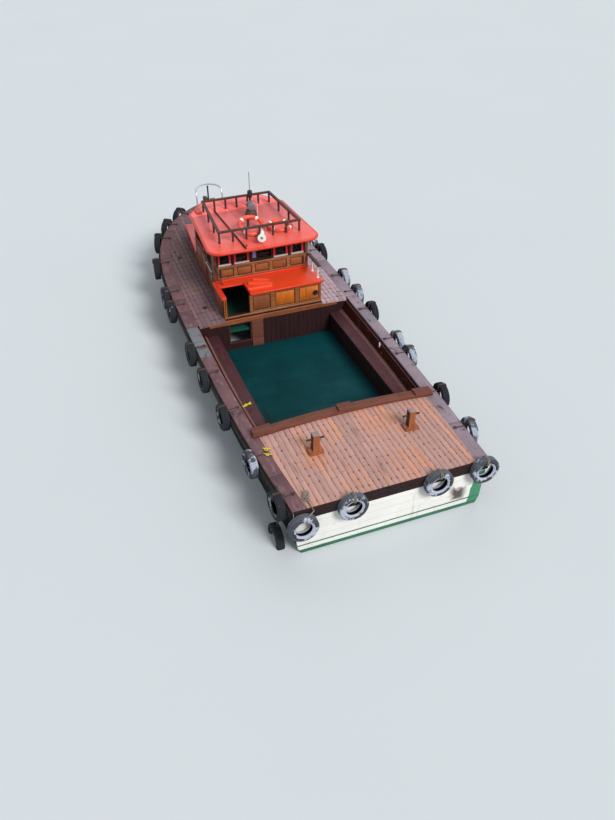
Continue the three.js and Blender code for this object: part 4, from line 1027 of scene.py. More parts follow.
class LAUNCH_OT_coaming(LaunchOperator, bpy.types.Operator):
    """Finishes the coaming and the bitts and ties the ropes of the aft deck"""

    bl_idname = "launch.coaming"
    bl_label = "Coaming and bitts"

    def execute(self, context):
        refine("aft_deck_coaming", "coaming_timber", "coaming", "cap_wood", 0.014)
        for side in SIDES:
            self.bitt(f"{side}_bitt")
        self.yellow_ties()
        self.corner_rope()
        return {"FINISHED"}

    def bitt(self, node):
        bitt = Shape(node, sizes().edge)
        middle, foot = bitt.middle, bitt.low.z
        for face in bitt.bm.faces:
            at = face.calc_center_median()
            if at.z > bitt.high.z - 0.014:
                face.material_index = 1
            elif abs(at.x - middle.x) > 0.08 and at.z > foot + 0.1:
                face.material_index = 2
            # Faces turned to port take the dark timber: painted shade on the side away from the light.
            elif face.normal.x < -0.5 and at.z > foot + 0.08:
                face.material_index = 3
        for dx in (-0.12, 0.12):
            for dy in (-0.085, 0.085):
                x, y = middle.x + dx, middle.y + dy
                bitt.upright(x, y, foot + 0.055, foot + 0.071, 0.014, 8, 0.010, 2)
        bitt.make(f"{node}_timber", "bitt bitt_top dark_iron dark_upright", "varnish")

    def yellow_ties(self):
        """Two rings with loose ends on the port deck, and a knot on the port bench."""
        ties = Shape()
        for x, y, radius in ((-1.93, -4.95, 0.035), (-1.96, -5.12, 0.028)):
            z = deck_top(x, y)
            ties.ring(radius, 0.011, (x, y, z + 0.012), 18, 8, 0.5)
            ends = (x - 0.06, y + 0.05, z + 0.016), (x + 0.09, y - 0.03, z + 0.014)
            ties.rod([ends[0], (x, y, z + 0.026), ends[1]], 0.010)
        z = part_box("port_bench")[1].z + 0.016
        for turn in (-0.03, 0.03):
            knot = [(-1.86, -3.02 + turn, z), (-1.76, -2.97 - turn, z), (-1.62, -2.93 + turn, z)]
            ties.rod(knot, 0.013)
        ties.make("port_lashings", "yellow_rope", "yellow_rope")

    def corner_rope(self):
        """The grey rope's turns on the port quarter, and its end down to the tyre there."""
        rope = Shape()
        y = STERN_Y + 0.24
        half, z = edge_at(y)
        x = -half + 0.34
        for step in range(3):
            at = Matrix.Translation((x + step * 0.03, y + step * 0.05, z + 0.02 + step * 0.012))
            at = at @ Matrix.Rotation(0.3 * step, 4, "X")
            rope.ring(0.055 - step * 0.008, 0.014, at, 20, 8)
        low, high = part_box("stern_tyre_1")
        middle = (low + high) / 2
        rope.rod([
            (x, y, z + 0.03), (x + 0.02, y - 0.16, z + 0.03), (x + 0.03, low.y + 0.10, z + 0.015),
            (middle.x + 0.05, low.y + 0.02, z - 0.05), (middle.x + 0.04, low.y - 0.012, z - 0.12),
            (middle.x + 0.03, low.y + 0.01, middle.z + 0.13),
        ], 0.012)
        rope.make("corner_lashing", "grey_rope", "grey_rope")


class LAUNCH_OT_well(LaunchOperator, bpy.types.Operator):
    """Fits out the cargo well: floor, benches, side boards and bulkheads"""

    bl_idname = "launch.well"
    bl_label = "Cargo well"

    def execute(self, context):
        self.floor()
        for side, sign in SIDES.items():
            self.bench(side, sign)
            self.side_boards(side, sign)
        self.bulkheads()
        return {"FINISHED"}

    def floor(self):
        """The floor, and black strips along a hatch's edges that paint the shade in its gaps."""
        floor = Shape("cargo_floor")
        # Black strips where the hatch meets the floor: painted shade of its edge gaps.
        for x0, y0, x1, y1 in ((-1.44, -3.03, -1.04, -2.98), (-1.24, -2.98, -1.18, -2.60)):
            floor.block((x0, y0, FLOOR_TOP - 0.002), (x1, y1, FLOOR_TOP + 0.006), 0.001, 1)
        floor.make("cargo_floor_boards", "floor_green black_hole", "floor_green")

    def bench(self, side, sign):
        bench = Shape(f"{side}_bench", sizes().edge)
        low, high = bench.low, bench.high
        bench.hang((-sign, 0, 0), (low.x if sign > 0 else high.x, bench.middle.y, 0))
        reach, rail, count = (high.y - low.y) / 2 - 0.01, 0.70, 12
        step = 2 * reach / count
        for i in range(count):
            x = -reach + i * step
            bench.block((x + 0.005, BOARD_FOOT, -0.004), (x + step - 0.005, rail, 0.010), 0.003, 1)
        bench.block((-reach, rail, -0.004), (reach, high.z + 0.004, 0.018), 0.006)
        bench.make(f"{side}_bench_timber", "bench dark_boards", "cap_wood")

    def side_boards(self, side, sign):
        """The sloping lining between the bench and the cap, its mouldings and a pale handle."""
        low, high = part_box("starboard_bench")

        def inner(y, share):
            half, sheer = edge_at(y)
            z = high.z + (sheer - 0.062 - high.z) * share
            return half - 0.225 - 0.59 * (sheer - z), z

        # Each row: its lower and upper edge as shares of the height, its thickness, its finish.
        rows = [(0.17 + i * 0.166, 0.325 + i * 0.166, 0.010, 0) for i in range(5)]
        rows += [(0.0, 0.05, 0.045, 1), (0.09, 0.15, 0.022, 1), (0.88, 0.92, 0.020, 1)]
        lining = Shape()
        for share0, share1, thick, material in rows:
            stations = []
            for y in stations_between(low.y + 0.005, high.y - 0.005):
                (x0, z0), (x1, z1) = inner(y, share0), inner(y, share1)
                stations.append([
                    (x0 - thick, y, z0), (x0 + 0.01, y, z0), (x1 + 0.01, y, z1), (x1 - thick, y, z1),
                ])
            lining.strip(stations, material)
        if sign < 0:
            lining.mirror()
        else:
            y = -2.08
            x, z = inner(y, 0.8)
            lining.upright(x - 0.04, y, z - 0.065, z + 0.055, 0.015, 10, material=2)
            lining.bar((x - 0.04, y, z), (x + 0.01, y, z), 0.009, 8, material=2)
        lining.make(f"{side}_well_boards", "well_side moulding white_plastic", "dark_wood")

    def bulkheads(self):
        wall = Shape("aft_bulkhead", 0.004)
        wall.hang((0, 1, 0), (0, wall.high.y, 0))
        self.boards(wall, wall.low.x + 0.03, wall.high.x - 0.03, 1.02)
        wall.make("aft_bulkhead_boards", "dark_boards", "dark_wood")

        wall = Shape("forward_bulkhead")
        wall.hang((0, -1, 0), (0, wall.low.y, 0))
        self.boards(wall, -0.62, 1.53, 0.97)
        self.boards(wall, -1.53, -1.24, 0.97)
        wall.casing(-1.20, 0.44, -0.66, 0.97, 0.035, 0.022, 1)
        wall.boards([(-0.62, BOARD_FOOT, -0.32, 0.975)], 0.026, 2, 0.005)
        wall.block((-1.72, 0.985, -0.002), (1.72, 1.115, 0.030), 0.008, 3)
        wall.make("forward_bulkhead_boards", "dark_boards dark_timber coaming sill_board", "varnish")

    def boards(self, wall, x0, x1, head):
        """Upright boards from the floor to a height."""
        count = max(2, round((x1 - x0) / 0.13))
        step = (x1 - x0) / count
        for i in range(count):
            x = x0 + i * step
            wall.block((x + 0.002, BOARD_FOOT, -0.002), (x + step - 0.002, head, 0.012), 0.003)


class LAUNCH_OT_lower_house(LaunchOperator, bpy.types.Operator):
    """Panels the lower house and finishes its roof and sliding door"""

    bl_idname = "launch.lower_house"
    bl_label = "Lower house"

    def execute(self, context):
        self.aft_wall()
        for side, sign in SIDES.items():
            self.side_wall(side, sign)
        self.sliding_door()
        self.roof()
        self.handrail()
        self.stick()
        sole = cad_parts["wheelhouse_sole"].data
        sole.materials.clear()
        sole.materials.append(finish("sole_green"))
        return {"FINISHED"}

    def aft_wall(self):
        """Three panels and a vent beside the doorway, over a moulded sill."""
        wall = Shape("lower_house_aft_wall")
        wall.hang((0, -1, 0), (0, wall.low.y, 0))
        proud, foot, head = sizes().trim, 1.185, wall.high.z - 0.004
        posts = ((-0.63, -0.545), (-0.075, 0.055), (0.585, 0.695), (1.245, 1.298))
        wall.boards([(x0, foot, x1, head) for x0, x1 in posts], proud, 1)
        fields = [(x0, x1) for (_, x0), (x1, _) in zip(posts, posts[1:])]
        for x0, x1 in fields:
            wall.boards([(x0, foot, x1, foot + 0.035), (x0, head - 0.035, x1, head)], proud, 1)
        for (x0, x1), material in zip(fields, (3, 2, 2)):
            # The dark strip round each panel is painted shade.
            wall.panel(x0 + 0.002, foot + 0.037, x1 - 0.002, head - 0.037, material=material, gap=4)
        wall.boards([(-1.298, foot, -1.225, head)], proud, 2)
        wall.boards([(-1.272, foot + 0.03, -1.250, head - 0.03)], proud + 0.004, 4, 0.003)
        wall.boards([(-1.299, 1.135, 1.299, 1.182)], 0.042, 1, 0.012, 2)
        wall.boards([(-1.299, 1.118, 1.299, 1.135)], 0.024, 4)
        vent = Matrix.Translation((1.135, 1.405, proud - 0.002))
        rim = [(0.0, 0.006), (0.052, 0.006), (0.058, 0.014), (0.075, 0.014), (0.082, 0.0)]
        wall.turned(rim, vent, 28, 5)
        # The vent's middle is a black disc: painted shade of its opening.
        wall.turned([(0.0, 0.011), (0.05, 0.009), (0.05, 0.0)], vent, 28, 6)
        wall.make(
            "lower_aft_wall", "dark_upright varnish varnish_bright varnish_dull dark_boards "
            "dark_iron black_hole", "varnish",
        )

    def side_wall(self, side, sign):
        wall = Shape(f"lower_house_{side}_wall")
        wall.hang((sign, 0, 0), (wall.high.x if sign > 0 else wall.low.x, wall.middle.y, 0))
        reach, foot, head = (wall.high.y - wall.low.y) / 2 - 0.004, 1.20, wall.high.z - 0.004
        inner = reach - 0.07
        wall.boards([
            (-reach, foot, -inner, head), (inner, foot, reach, head),
            (-inner, foot, inner, foot + 0.06), (-inner, head - 0.056, inner, head),
        ], 0.016)
        wall.panel(-reach + 0.085, foot + 0.075, reach - 0.085, head - 0.071)
        wall.make(f"lower_{side}_wall", "house_side", "varnish")

    def sliding_door(self):
        leaf = Shape("companion_door", 0.003)
        leaf.hang((0, -1, 0), (leaf.middle.x, leaf.low.y, 0))
        leaf.panel(-0.22, leaf.low.z + 0.08, 0.22, leaf.high.z - 0.08, 0.02, 0.004)
        leaf.make("companion_leaf", "varnish_upright", "varnish", "companion_door")

    def roof(self):
        """The low roof's raised rim beside the hatch, its upstand and the slats on it."""
        roof = Shape("mid_roof", sizes().roof_lip * 0.8, 3)
        low, high, top = roof.low, roof.high, roof.high.z
        foot = top - 0.01
        roof.block((low.x + 0.005, low.y + 0.004, foot), (-1.225, high.y, top + 0.030), 0.010, 1, 2)
        roof.block((-1.24, high.y - 0.045, foot), (1.20, high.y - 0.002, top + 0.050), 0.010, 1, 2)
        roof.block((-0.608, low.y + 0.02, top - 0.005), (-0.565, 0.72, top + 0.022), 0.006, 1)
        for x, y, reach, turn, height in (
            (-0.60, 0.345, 0.63, -0.03, 0.050), (-0.50, 0.63, 0.60, -0.38, 0.055),
            (-0.34, 0.79, 0.42, -0.38, 0.045),
        ):
            roof.place = Matrix.Translation((x, y, top)) @ Matrix.Rotation(turn, 4, "Z")
            roof.block((0, -0.045, -0.002), (reach, 0.045, height), 0.006, 2)
        roof.make("lower_roof", "roof_low roof_trim slat_paint", "roof_orange")

    def handrail(self):
        """The handrail on white posts to starboard."""
        rail, roof = Shape(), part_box("mid_roof")[1].z
        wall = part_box("wheelhouse_aft_wall")[0].y
        rail.block((1.225, 0.20, 2.075), (1.325, wall + 0.02, 2.105), 0.008, segments=2)
        for y in (0.31, 0.70):
            rail.upright(1.27, y, roof - 0.01, 2.078, 0.016, 10, material=1)
            rail.upright(1.27, y, roof - 0.002, roof + 0.012, 0.034, 14, material=1)
        rail.make("starboard_handrail", "rail_timber white_plastic", "dark_wood")

    def stick(self):
        """A stick that leans on the wall to port."""
        stick, roof = Shape(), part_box("mid_roof")[1].z
        stick.bar((-1.12, 0.80, roof - 0.005), (-1.235, 0.985, 2.20), 0.016, 10, 0.020)
        stick.make("port_stick", "rail_timber", "dark_wood")


class LAUNCH_OT_wheelhouse(LaunchOperator, bpy.types.Operator):
    """Panels the wheelhouse, glazes it and finishes the fore cabin and the doors"""

    bl_idname = "launch.wheelhouse"
    bl_label = "Wheelhouse"

    window_foot, window_head = 2.19, 2.50
    aft_windows = ((-1.12, -0.86), (-0.70, -0.38), (0.35, 0.66), (0.82, 1.09))
    centre_window = (-0.11, 0.26)

    def execute(self, context):
        self.aft_wall()
        for side, sign in SIDES.items():
            self.side_wall(side, sign)
            self.door(side, sign)
        self.front_wall()
        self.cabin()
        for node in ("aft_glass", "front_glass", "starboard_glass", "port_glass"):
            refine(node, f"{node}_panes", "glass", "window_glass", 0.001)
        return {"FINISHED"}

    def aft_wall(self):
        """Five panels under a moulded rail, and the windows' bright casings over it."""
        wall = Shape("wheelhouse_aft_wall")
        wall.hang((0, -1, 0), (0, wall.low.y, 0))
        proud, reach = sizes().trim, wall.high.x - 0.003
        foot, top, count = 1.785, 2.10, 5
        low, high = foot + 0.045, top - 0.035
        wall.boards([(-reach, foot, reach, low), (-reach, high, reach, top)], proud, 1)
        wall.boards([(-reach, top, reach, top + 0.045)], 0.040, 1, 0.012, 2)
        wall.boards([(-reach, top + 0.045, reach, top + 0.060)], 0.022, 4)
        posts = [-reach + i * 2 * reach / count for i in range(count + 1)]
        for x in posts:
            wall.boards([(max(x - 0.045, -reach), low, min(x + 0.045, reach), high)], proud, 1)
        for i, (x0, x1) in enumerate(zip(posts, posts[1:])):
            x0 += 0.083 if i == 0 else 0.048
            x1 -= 0.083 if i == count - 1 else 0.048
            # The dark strip round each panel is painted shade.
            wall.panel(x0, low + 0.003, x1, high - 0.003, 0.026, material=8, gap=4)
        z0, z1 = self.window_foot + 0.012, self.window_head - 0.012
        for x0, x1 in self.aft_windows:
            wall.casing(x0 + 0.012, z0, x1 - 0.012, z1, sizes().casing, 0.022, 3, 5)
        x0, x1 = self.centre_window
        wall.casing(x0 + 0.01, z0 - 0.002, x1 - 0.01, z1 + 0.002, 0.035, 0.018, 4)
        uprights = (-1.187, -1.165), (-0.80, -0.76), (-0.33, -0.255), (0.71, 0.765), (1.145, 1.187)
        wall.boards([(x0, 2.165, x1, 2.655) for x0, x1 in uprights], 0.026, 4, 0.005)
        wall.boards([(-reach, 2.585, reach, 2.662)], 0.016, 4, 0.005)
        wall.boards([(-0.245, 2.24, -0.155, 2.46)], 0.012, 6, 0.003)
        lamp = [(0, 0.055), (0.03, 0.05), (0.05, 0.03), (0.056, 0.0)]
        wall.turned(lamp, Matrix.Translation((0.10, 2.575, 0.016)), 20, 7)
        wall.make(
            "upper_aft_wall", "dark_upright varnish varnish_bright crimson dark_boards "
            "window_sill notice_plate white_plastic varnish_old", "varnish",
        )

    def side_wall(self, side, sign):
        """Panels low on the side, a casing round its window and mouldings over the door."""
        wall = Shape(f"wheelhouse_{side}_wall")
        wall.hang((sign, 0, 0), (HOUSE_HALF * sign, wall.middle.y, 0))

        def between(y0, y1):
            return sorted(sign * (y - wall.middle.y) for y in (y0, y1))

        for y0, y1, z0, z1, proud, material in (
            (1.004, 1.165, 1.22, 2.655, 0.014, 0), (2.84, 2.896, 1.22, 2.655, 0.014, 0),
            (1.86, 2.84, 1.24, 1.31, 0.014, 0), (1.86, 2.84, 2.04, 2.12, 0.014, 0),
            (1.86, 2.84, 2.12, 2.15, 0.030, 1), (1.17, 2.84, 2.57, 2.655, 0.014, 1),
            (1.86, 1.93, 1.31, 2.04, 0.014, 0), (2.31, 2.39, 1.31, 2.04, 0.014, 0),
            (2.77, 2.84, 1.31, 2.04, 0.014, 0),
        ):
            x0, x1 = between(y0, y1)
            wall.boards([(x0, z0, x1, z1)], proud, material)
        for y0, y1 in ((1.945, 2.295), (2.405, 2.755)):
            x0, x1 = between(y0, y1)
            # The dark strip round each panel is painted shade.
            wall.panel(x0, 1.325, x1, 2.025, gap=1)
        x0, x1 = between(1.99, 2.77)
        wall.casing(x0, 2.20, x1, 2.49, 0.045, 0.020, 2)
        wall.make(f"upper_{side}_wall", "house_side dark_boards crimson", "varnish")

    def door(self, side, sign):
        """A side door's leaf, with its grip, and a white rail across the port one."""
        node = f"{side}_door"
        leaf = Shape(node)
        leaf.hang((sign, 0, 0), (HOUSE_HALF * sign, 1.5, 0))
        # The dark strip round the panel is painted shade.
        leaf.panel(-0.21, 1.40, 0.21, 1.95, 0.03, 0.008, gap=1)
        leaf.casing(-0.175, 2.07, 0.175, 2.39, 0.03, 0.010, 1)
        leaf.block((-0.19, 2.05, -0.022), (0.19, 2.41, -0.016), 0, 2)
        x = -0.25 * sign
        leaf.bar((x, 1.78, 0), (x, 1.78, 0.045), 0.012, 10, material=3)
        leaf.bar((x, 1.70, 0.045), (x, 1.86, 0.045), 0.011, 10, material=3)
        if sign < 0:
            bars = [((x, z, -0.002), (x, z, 0.036)) for x, z in ((-0.22, 1.966), (0.23, 1.924))]
            for start, end in [((-0.26, 1.97, 0.036), (0.27, 1.92, 0.036)), *bars]:
                leaf.bar(start, end, 0.011, 10, material=4)
        finishes = "house_side dark_boards glass steel white_plastic"
        leaf.make(f"{side}_door_leaf", finishes, "varnish", node)

    def front_wall(self):
        wall = Shape("wheelhouse_front_wall")
        z0, z1 = self.window_foot + 0.01, self.window_head - 0.01
        faces = [((0, 1, 0), (0, 3.6, 0), ((-0.59, -0.23), (-0.18, 0.18), (0.23, 0.59)), 0.69)]
        for sign in SIDES.values():
            faces.append(((0.7 * sign, 0.55, 0), (0.975 * sign, 3.25, 0), ((-0.24, 0.24),), 0.435))
        for normal, at, openings, reach in faces:
            wall.hang(normal, at)
            for x0, x1 in openings:
                wall.casing(x0 + 0.006, z0, x1 - 0.006, z1, 0.024, 0.016, 1)
            for low, high, proud in ((1.76, 1.82, 0.014), (2.08, 2.13, 0.026), (2.58, 2.65, 0.014)):
                wall.boards([(-reach, low, reach, high)], proud)
            step = 2 * reach / len(openings)
            for i in range(len(openings)):
                x = -reach + i * step
                wall.panel(x + 0.05, 1.84, x + step - 0.05, 2.06)
        wall.make("upper_front_wall", "house_side crimson", "varnish")

    def cabin(self):
        """The fore cabin's walls with their capping boards, and its roof."""
        walls = Shape("fore_cabin_walls", 0.006)

        def panelled(reach, first, step, width):
            walls.boards([(-reach, 1.60, reach, 1.655)], 0.018, 1, 0.005)
            for i in range(3):
                x = first + i * step
                walls.panel(x, 1.34, x + width, 1.58, rise=0.008)

        for sign in SIDES.values():
            aft, fore = Vector((HOUSE_HALF * sign, 2.95, 0)), Vector((1.09 * sign, 4.68, 0))
            span = fore - aft
            walls.hang(Vector((span.y, -span.x, 0)) * sign, (aft + fore) / 2)
            reach = span.length / 2 - 0.02
            panelled(reach, 0.04 - reach, 2 * reach / 3, 2 * reach / 3 - 0.08)
        walls.hang((0, 1, 0), (0, 4.70, 0))
        panelled(1.07, -1.03, 0.70, 0.64)
        walls.make("fore_cabin_sides", "house_side dark_timber", "varnish")
        lip = sizes().roof_lip * 0.8
        refine("fore_cabin_roof", "cabin_roof", "roof_top", "roof_orange", lip, segments=3)


class LAUNCH_OT_roof(LaunchOperator, bpy.types.Operator):
    """Finishes the wheelhouse roof and what stands on it"""

    bl_idname = "launch.roof"
    bl_label = "Wheelhouse roof"

    def execute(self, context):
        self.roof()
        refine("roof_rail", "roof_rail_timber", "rail_timber", "dark_wood", 0.006)
        self.mast()
        self.searchlight()
        self.loudspeaker()
        self.lifebuoy("lifebuoy_middle", sizes().buoy_tilt)
        self.lifebuoy("lifebuoy_starboard", 0.0)
        self.boat_hook()
        self.rod()
        return {"FINISHED"}

    def roof(self):
        """The roof with its painted rim, two seams and a raised cover to port."""
        roof = Shape("wheelhouse_roof", sizes().roof_lip, 4)
        flat = [f for f in roof.bm.faces if abs(f.normal.z) > 0.999]
        rim = bmesh.ops.inset_region(roof.bm, faces=flat, thickness=0.030, use_even_offset=True)
        # The rim ring and the sides take the edge paint; the inner top keeps the roof finish, pinker with
        # painted sky reflection.
        for face in rim["faces"] + [f for f in roof.bm.faces if f.normal.z < 0.95]:
            face.material_index = 1
        roof.groove((0, 2.93, 0), (-0.07, 1, 0), 0.006, 0.006)
        roof.groove((-0.05, 0, 0), (1, 0.07, 0), 0.005, 0.005)
        roof.block((-1.13, 2.99, ROOF_TOP - 0.002), (-0.99, 3.30, ROOF_TOP + 0.045), 0.006, 1)
        roof.make("upper_roof", "roof_top roof_trim", "roof_orange")

    def mast(self):
        """The mast with its lantern, and the pedestal that carries the searchlight."""
        mast = Shape("mast", 0.003)
        lamp_low, lamp_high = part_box("searchlight")
        for face in mast.bm.faces:
            middle = face.calc_center_median()
            if middle.y < 2.53 and middle.z < lamp_low.z + 0.01:
                face.material_index = 1
        at = Vector((0.23, 2.56, 0))
        for z in (3.215, 3.285, 3.345):
            mast.ring(0.058, 0.008, at + UP * z, 20, 8)
        for arm in round_the(6, 0.062):
            mast.bar(at + arm + UP * 3.21, at + arm + UP * 3.35, 0.005, 6)
        foot = Vector(((lamp_low.x + lamp_high.x) / 2, 2.33, ROOF_TOP))
        for arm in round_the(8, 0.165):
            mast.bar(foot + arm, foot + arm + UP * 0.02, 0.010, 6)
        mast.make("mast_and_lantern", "dark_iron pedestal", "dark_iron")

    def searchlight(self):
        drum = Shape("searchlight", 0.006)
        x, z = drum.middle.x, drum.high.z - 0.105
        quarter = Matrix.Rotation(math.pi / 2, 4, "X")
        front = Matrix.Translation((x, drum.high.y - 0.012, z)) @ quarter.inverted()
        drum.ring(0.090, 0.010, front, 32, 8)
        drum.turned([(0, 0.012), (0.05, 0.008), (0.084, 0.0)], front, 28, 1)
        back = Matrix.Translation((x, drum.low.y + 0.006, z)) @ quarter
        for radius in (0.03, 0.055, 0.078):
            drum.ring(radius, 0.004, back, 24, 6)
        drum.make("searchlight_drum", "lamp_grey lens", "dark_iron", "searchlight")

    def loudspeaker(self):
        horn = Shape("loudspeaker", 0.004)
        turn = math.radians(20)
        out = Vector((-math.sin(turn), -math.cos(turn), 0))
        mouth = turned_to(out, Vector((-0.03, 0.79, horn.high.z - 0.105)) + out * 0.198)
        horn.ring(0.098, 0.008, mouth, 32, 8)
        horn.turned([(0, 0.006), (0.026, 0.005), (0.036, 0.001)], mouth, 24, 1)
        horn.make("loudspeaker_horn", "white_plastic lamp_grey", "white_plastic")

    def lifebuoy(self, node, tilt):
        """A ring with four white bands and a grab rope; the middle one leans on a chock."""
        s = sizes()
        buoy = Shape(node, copied=False)
        x, low = buoy.middle.x, buoy.low
        rise, run = s.buoy_radius * math.sin(tilt), s.buoy_radius * math.cos(tilt)
        y, z = low.y + run + s.buoy_tube, low.z + rise + s.buoy_tube
        place = Matrix.Translation((x, y, z)) @ Matrix.Rotation(tilt, 4, "X")
        buoy.ring(s.buoy_radius, s.buoy_tube, place, 56, 16)
        for i in range(4):
            start = math.radians(35 + i * 90)
            buoy.ring(s.buoy_radius, s.buoy_tube + 0.002, place, 5, 16, start, 0.24, 1)
        rope = []
        for i in range(64):
            angle = i * math.pi / 32
            reach = s.buoy_radius + s.buoy_tube + 0.006 + 0.006 * math.sin(angle * 8)
            along, across = math.cos(angle) * reach, math.sin(angle) * reach
            rope.append(place @ Vector((along, across, 0.012 * math.sin(angle * 4))))
        buoy.rod(rope, 0.007, 6, closed=True, material=2)
        if tilt:
            y += run
            head = z + rise - s.buoy_tube / 2
            buoy.block((x - 0.03, y - 0.035, low.z), (x + 0.03, y + 0.035, head), 0.004, 3)
        finishes = "buoy_orange white_plastic grey_rope rail_timber"
        buoy.make(f"{node}_ring", finishes, "buoy_orange")

    def boat_hook(self):
        hook = Shape("boat_hook")
        low, high, z = hook.low, hook.high, hook.middle.z
        aft, fore = Vector((high.x - 0.02, low.y, z)), Vector((low.x + 0.02, high.y, z))
        along = (aft - fore).normalized()
        hook.bar(aft - along * 0.22, aft + along * 0.005, 0.026, 12, 0.022, 1)
        tip = aft - along * 0.10
        bends = ((0, 0, 0), (0.05, 0.0, 0.002), (0.075, 0.03, 0.002), (0.07, 0.075, 0.0))
        hook.rod([tip + Vector(bend) for bend in bends], 0.011, 8, material=1)
        hook.bar(fore + along * 0.02, fore + along * 0.09, 0.023, 12, material=1)
        hook.make("boat_hook_pole", "rail_timber dark_iron", "varnish")

    def rod(self):
        """A thin white rod that stands on the roof."""
        rod = Shape()
        foot = Vector((0.26, 2.07, ROOF_TOP - 0.002))
        rod.bar(foot, foot + Vector((-0.03, -0.16, 0.56)), 0.008, 8, 0.006)
        rod.bar(foot, foot + UP * 0.02, 0.022, 12)
        rod.make("roof_rod", "white_plastic", "white_plastic")


class LAUNCH_OT_bow(LaunchOperator, bpy.types.Operator):
    """Finishes the bow post, the pulpit and the jackstaff"""

    bl_idname = "launch.bow"
    bl_label = "Bow fittings"

    def execute(self, context):
        refine("bow_post", "bow_post_timber", "bitt", "dark_wood", sizes().edge)
        pulpit = Shape("pulpit")
        for x, y in ((-0.4, 6.06), (0.4, 6.06), (0.0, 6.56)):
            z = deck_top(x * 0.99, y)
            pulpit.upright(x, y, z - 0.01, z + 0.012, 0.045, 18)
        pulpit.make("bow_pulpit", "steel", "steel_tube", smooth=50)
        staff = Shape("jackstaff")
        x, y = staff.middle.xy
        low, high = staff.low.z, staff.high.z
        staff.upright(x, y, high - 0.002, high + 0.03, 0.034, 14, 0.02)
        for z in (low + 0.02, low + 0.30):
            staff.ring(0.025, 0.007, (x, y, z), 16, 8)
        staff.make("bow_jackstaff", "dark_iron", "dark_iron")
        return {"FINISHED"}


class LAUNCH_OT_running_gear(LaunchOperator, bpy.types.Operator):
    """Finishes the engine, the shaft, the propeller, the rudder and the helm"""

    bl_idname = "launch.running_gear"
    bl_label = "Running gear and helm"

    def execute(self, context):
        refine("engine", "engine_block", "engine_grey", "engine_grey", 0.008)
        refine("propeller_shaft", "shaft", "steel", "shaft_steel", 0.002, "screw", 50)
        refine("propeller", "screw_blades", "bronze", "bronze", 0.003, "screw", 40)
        refine("rudder", "rudder_blade", "hull", "hull_paint", 0.006, "rudder")
        refine("helm_console", "console", "house_side", "varnish", 0.006)
        refine("helm_wheel", "wheel", "varnish_bright", "varnish", 0.003, "helm_wheel", 50, 1)
        return {"FINISHED"}


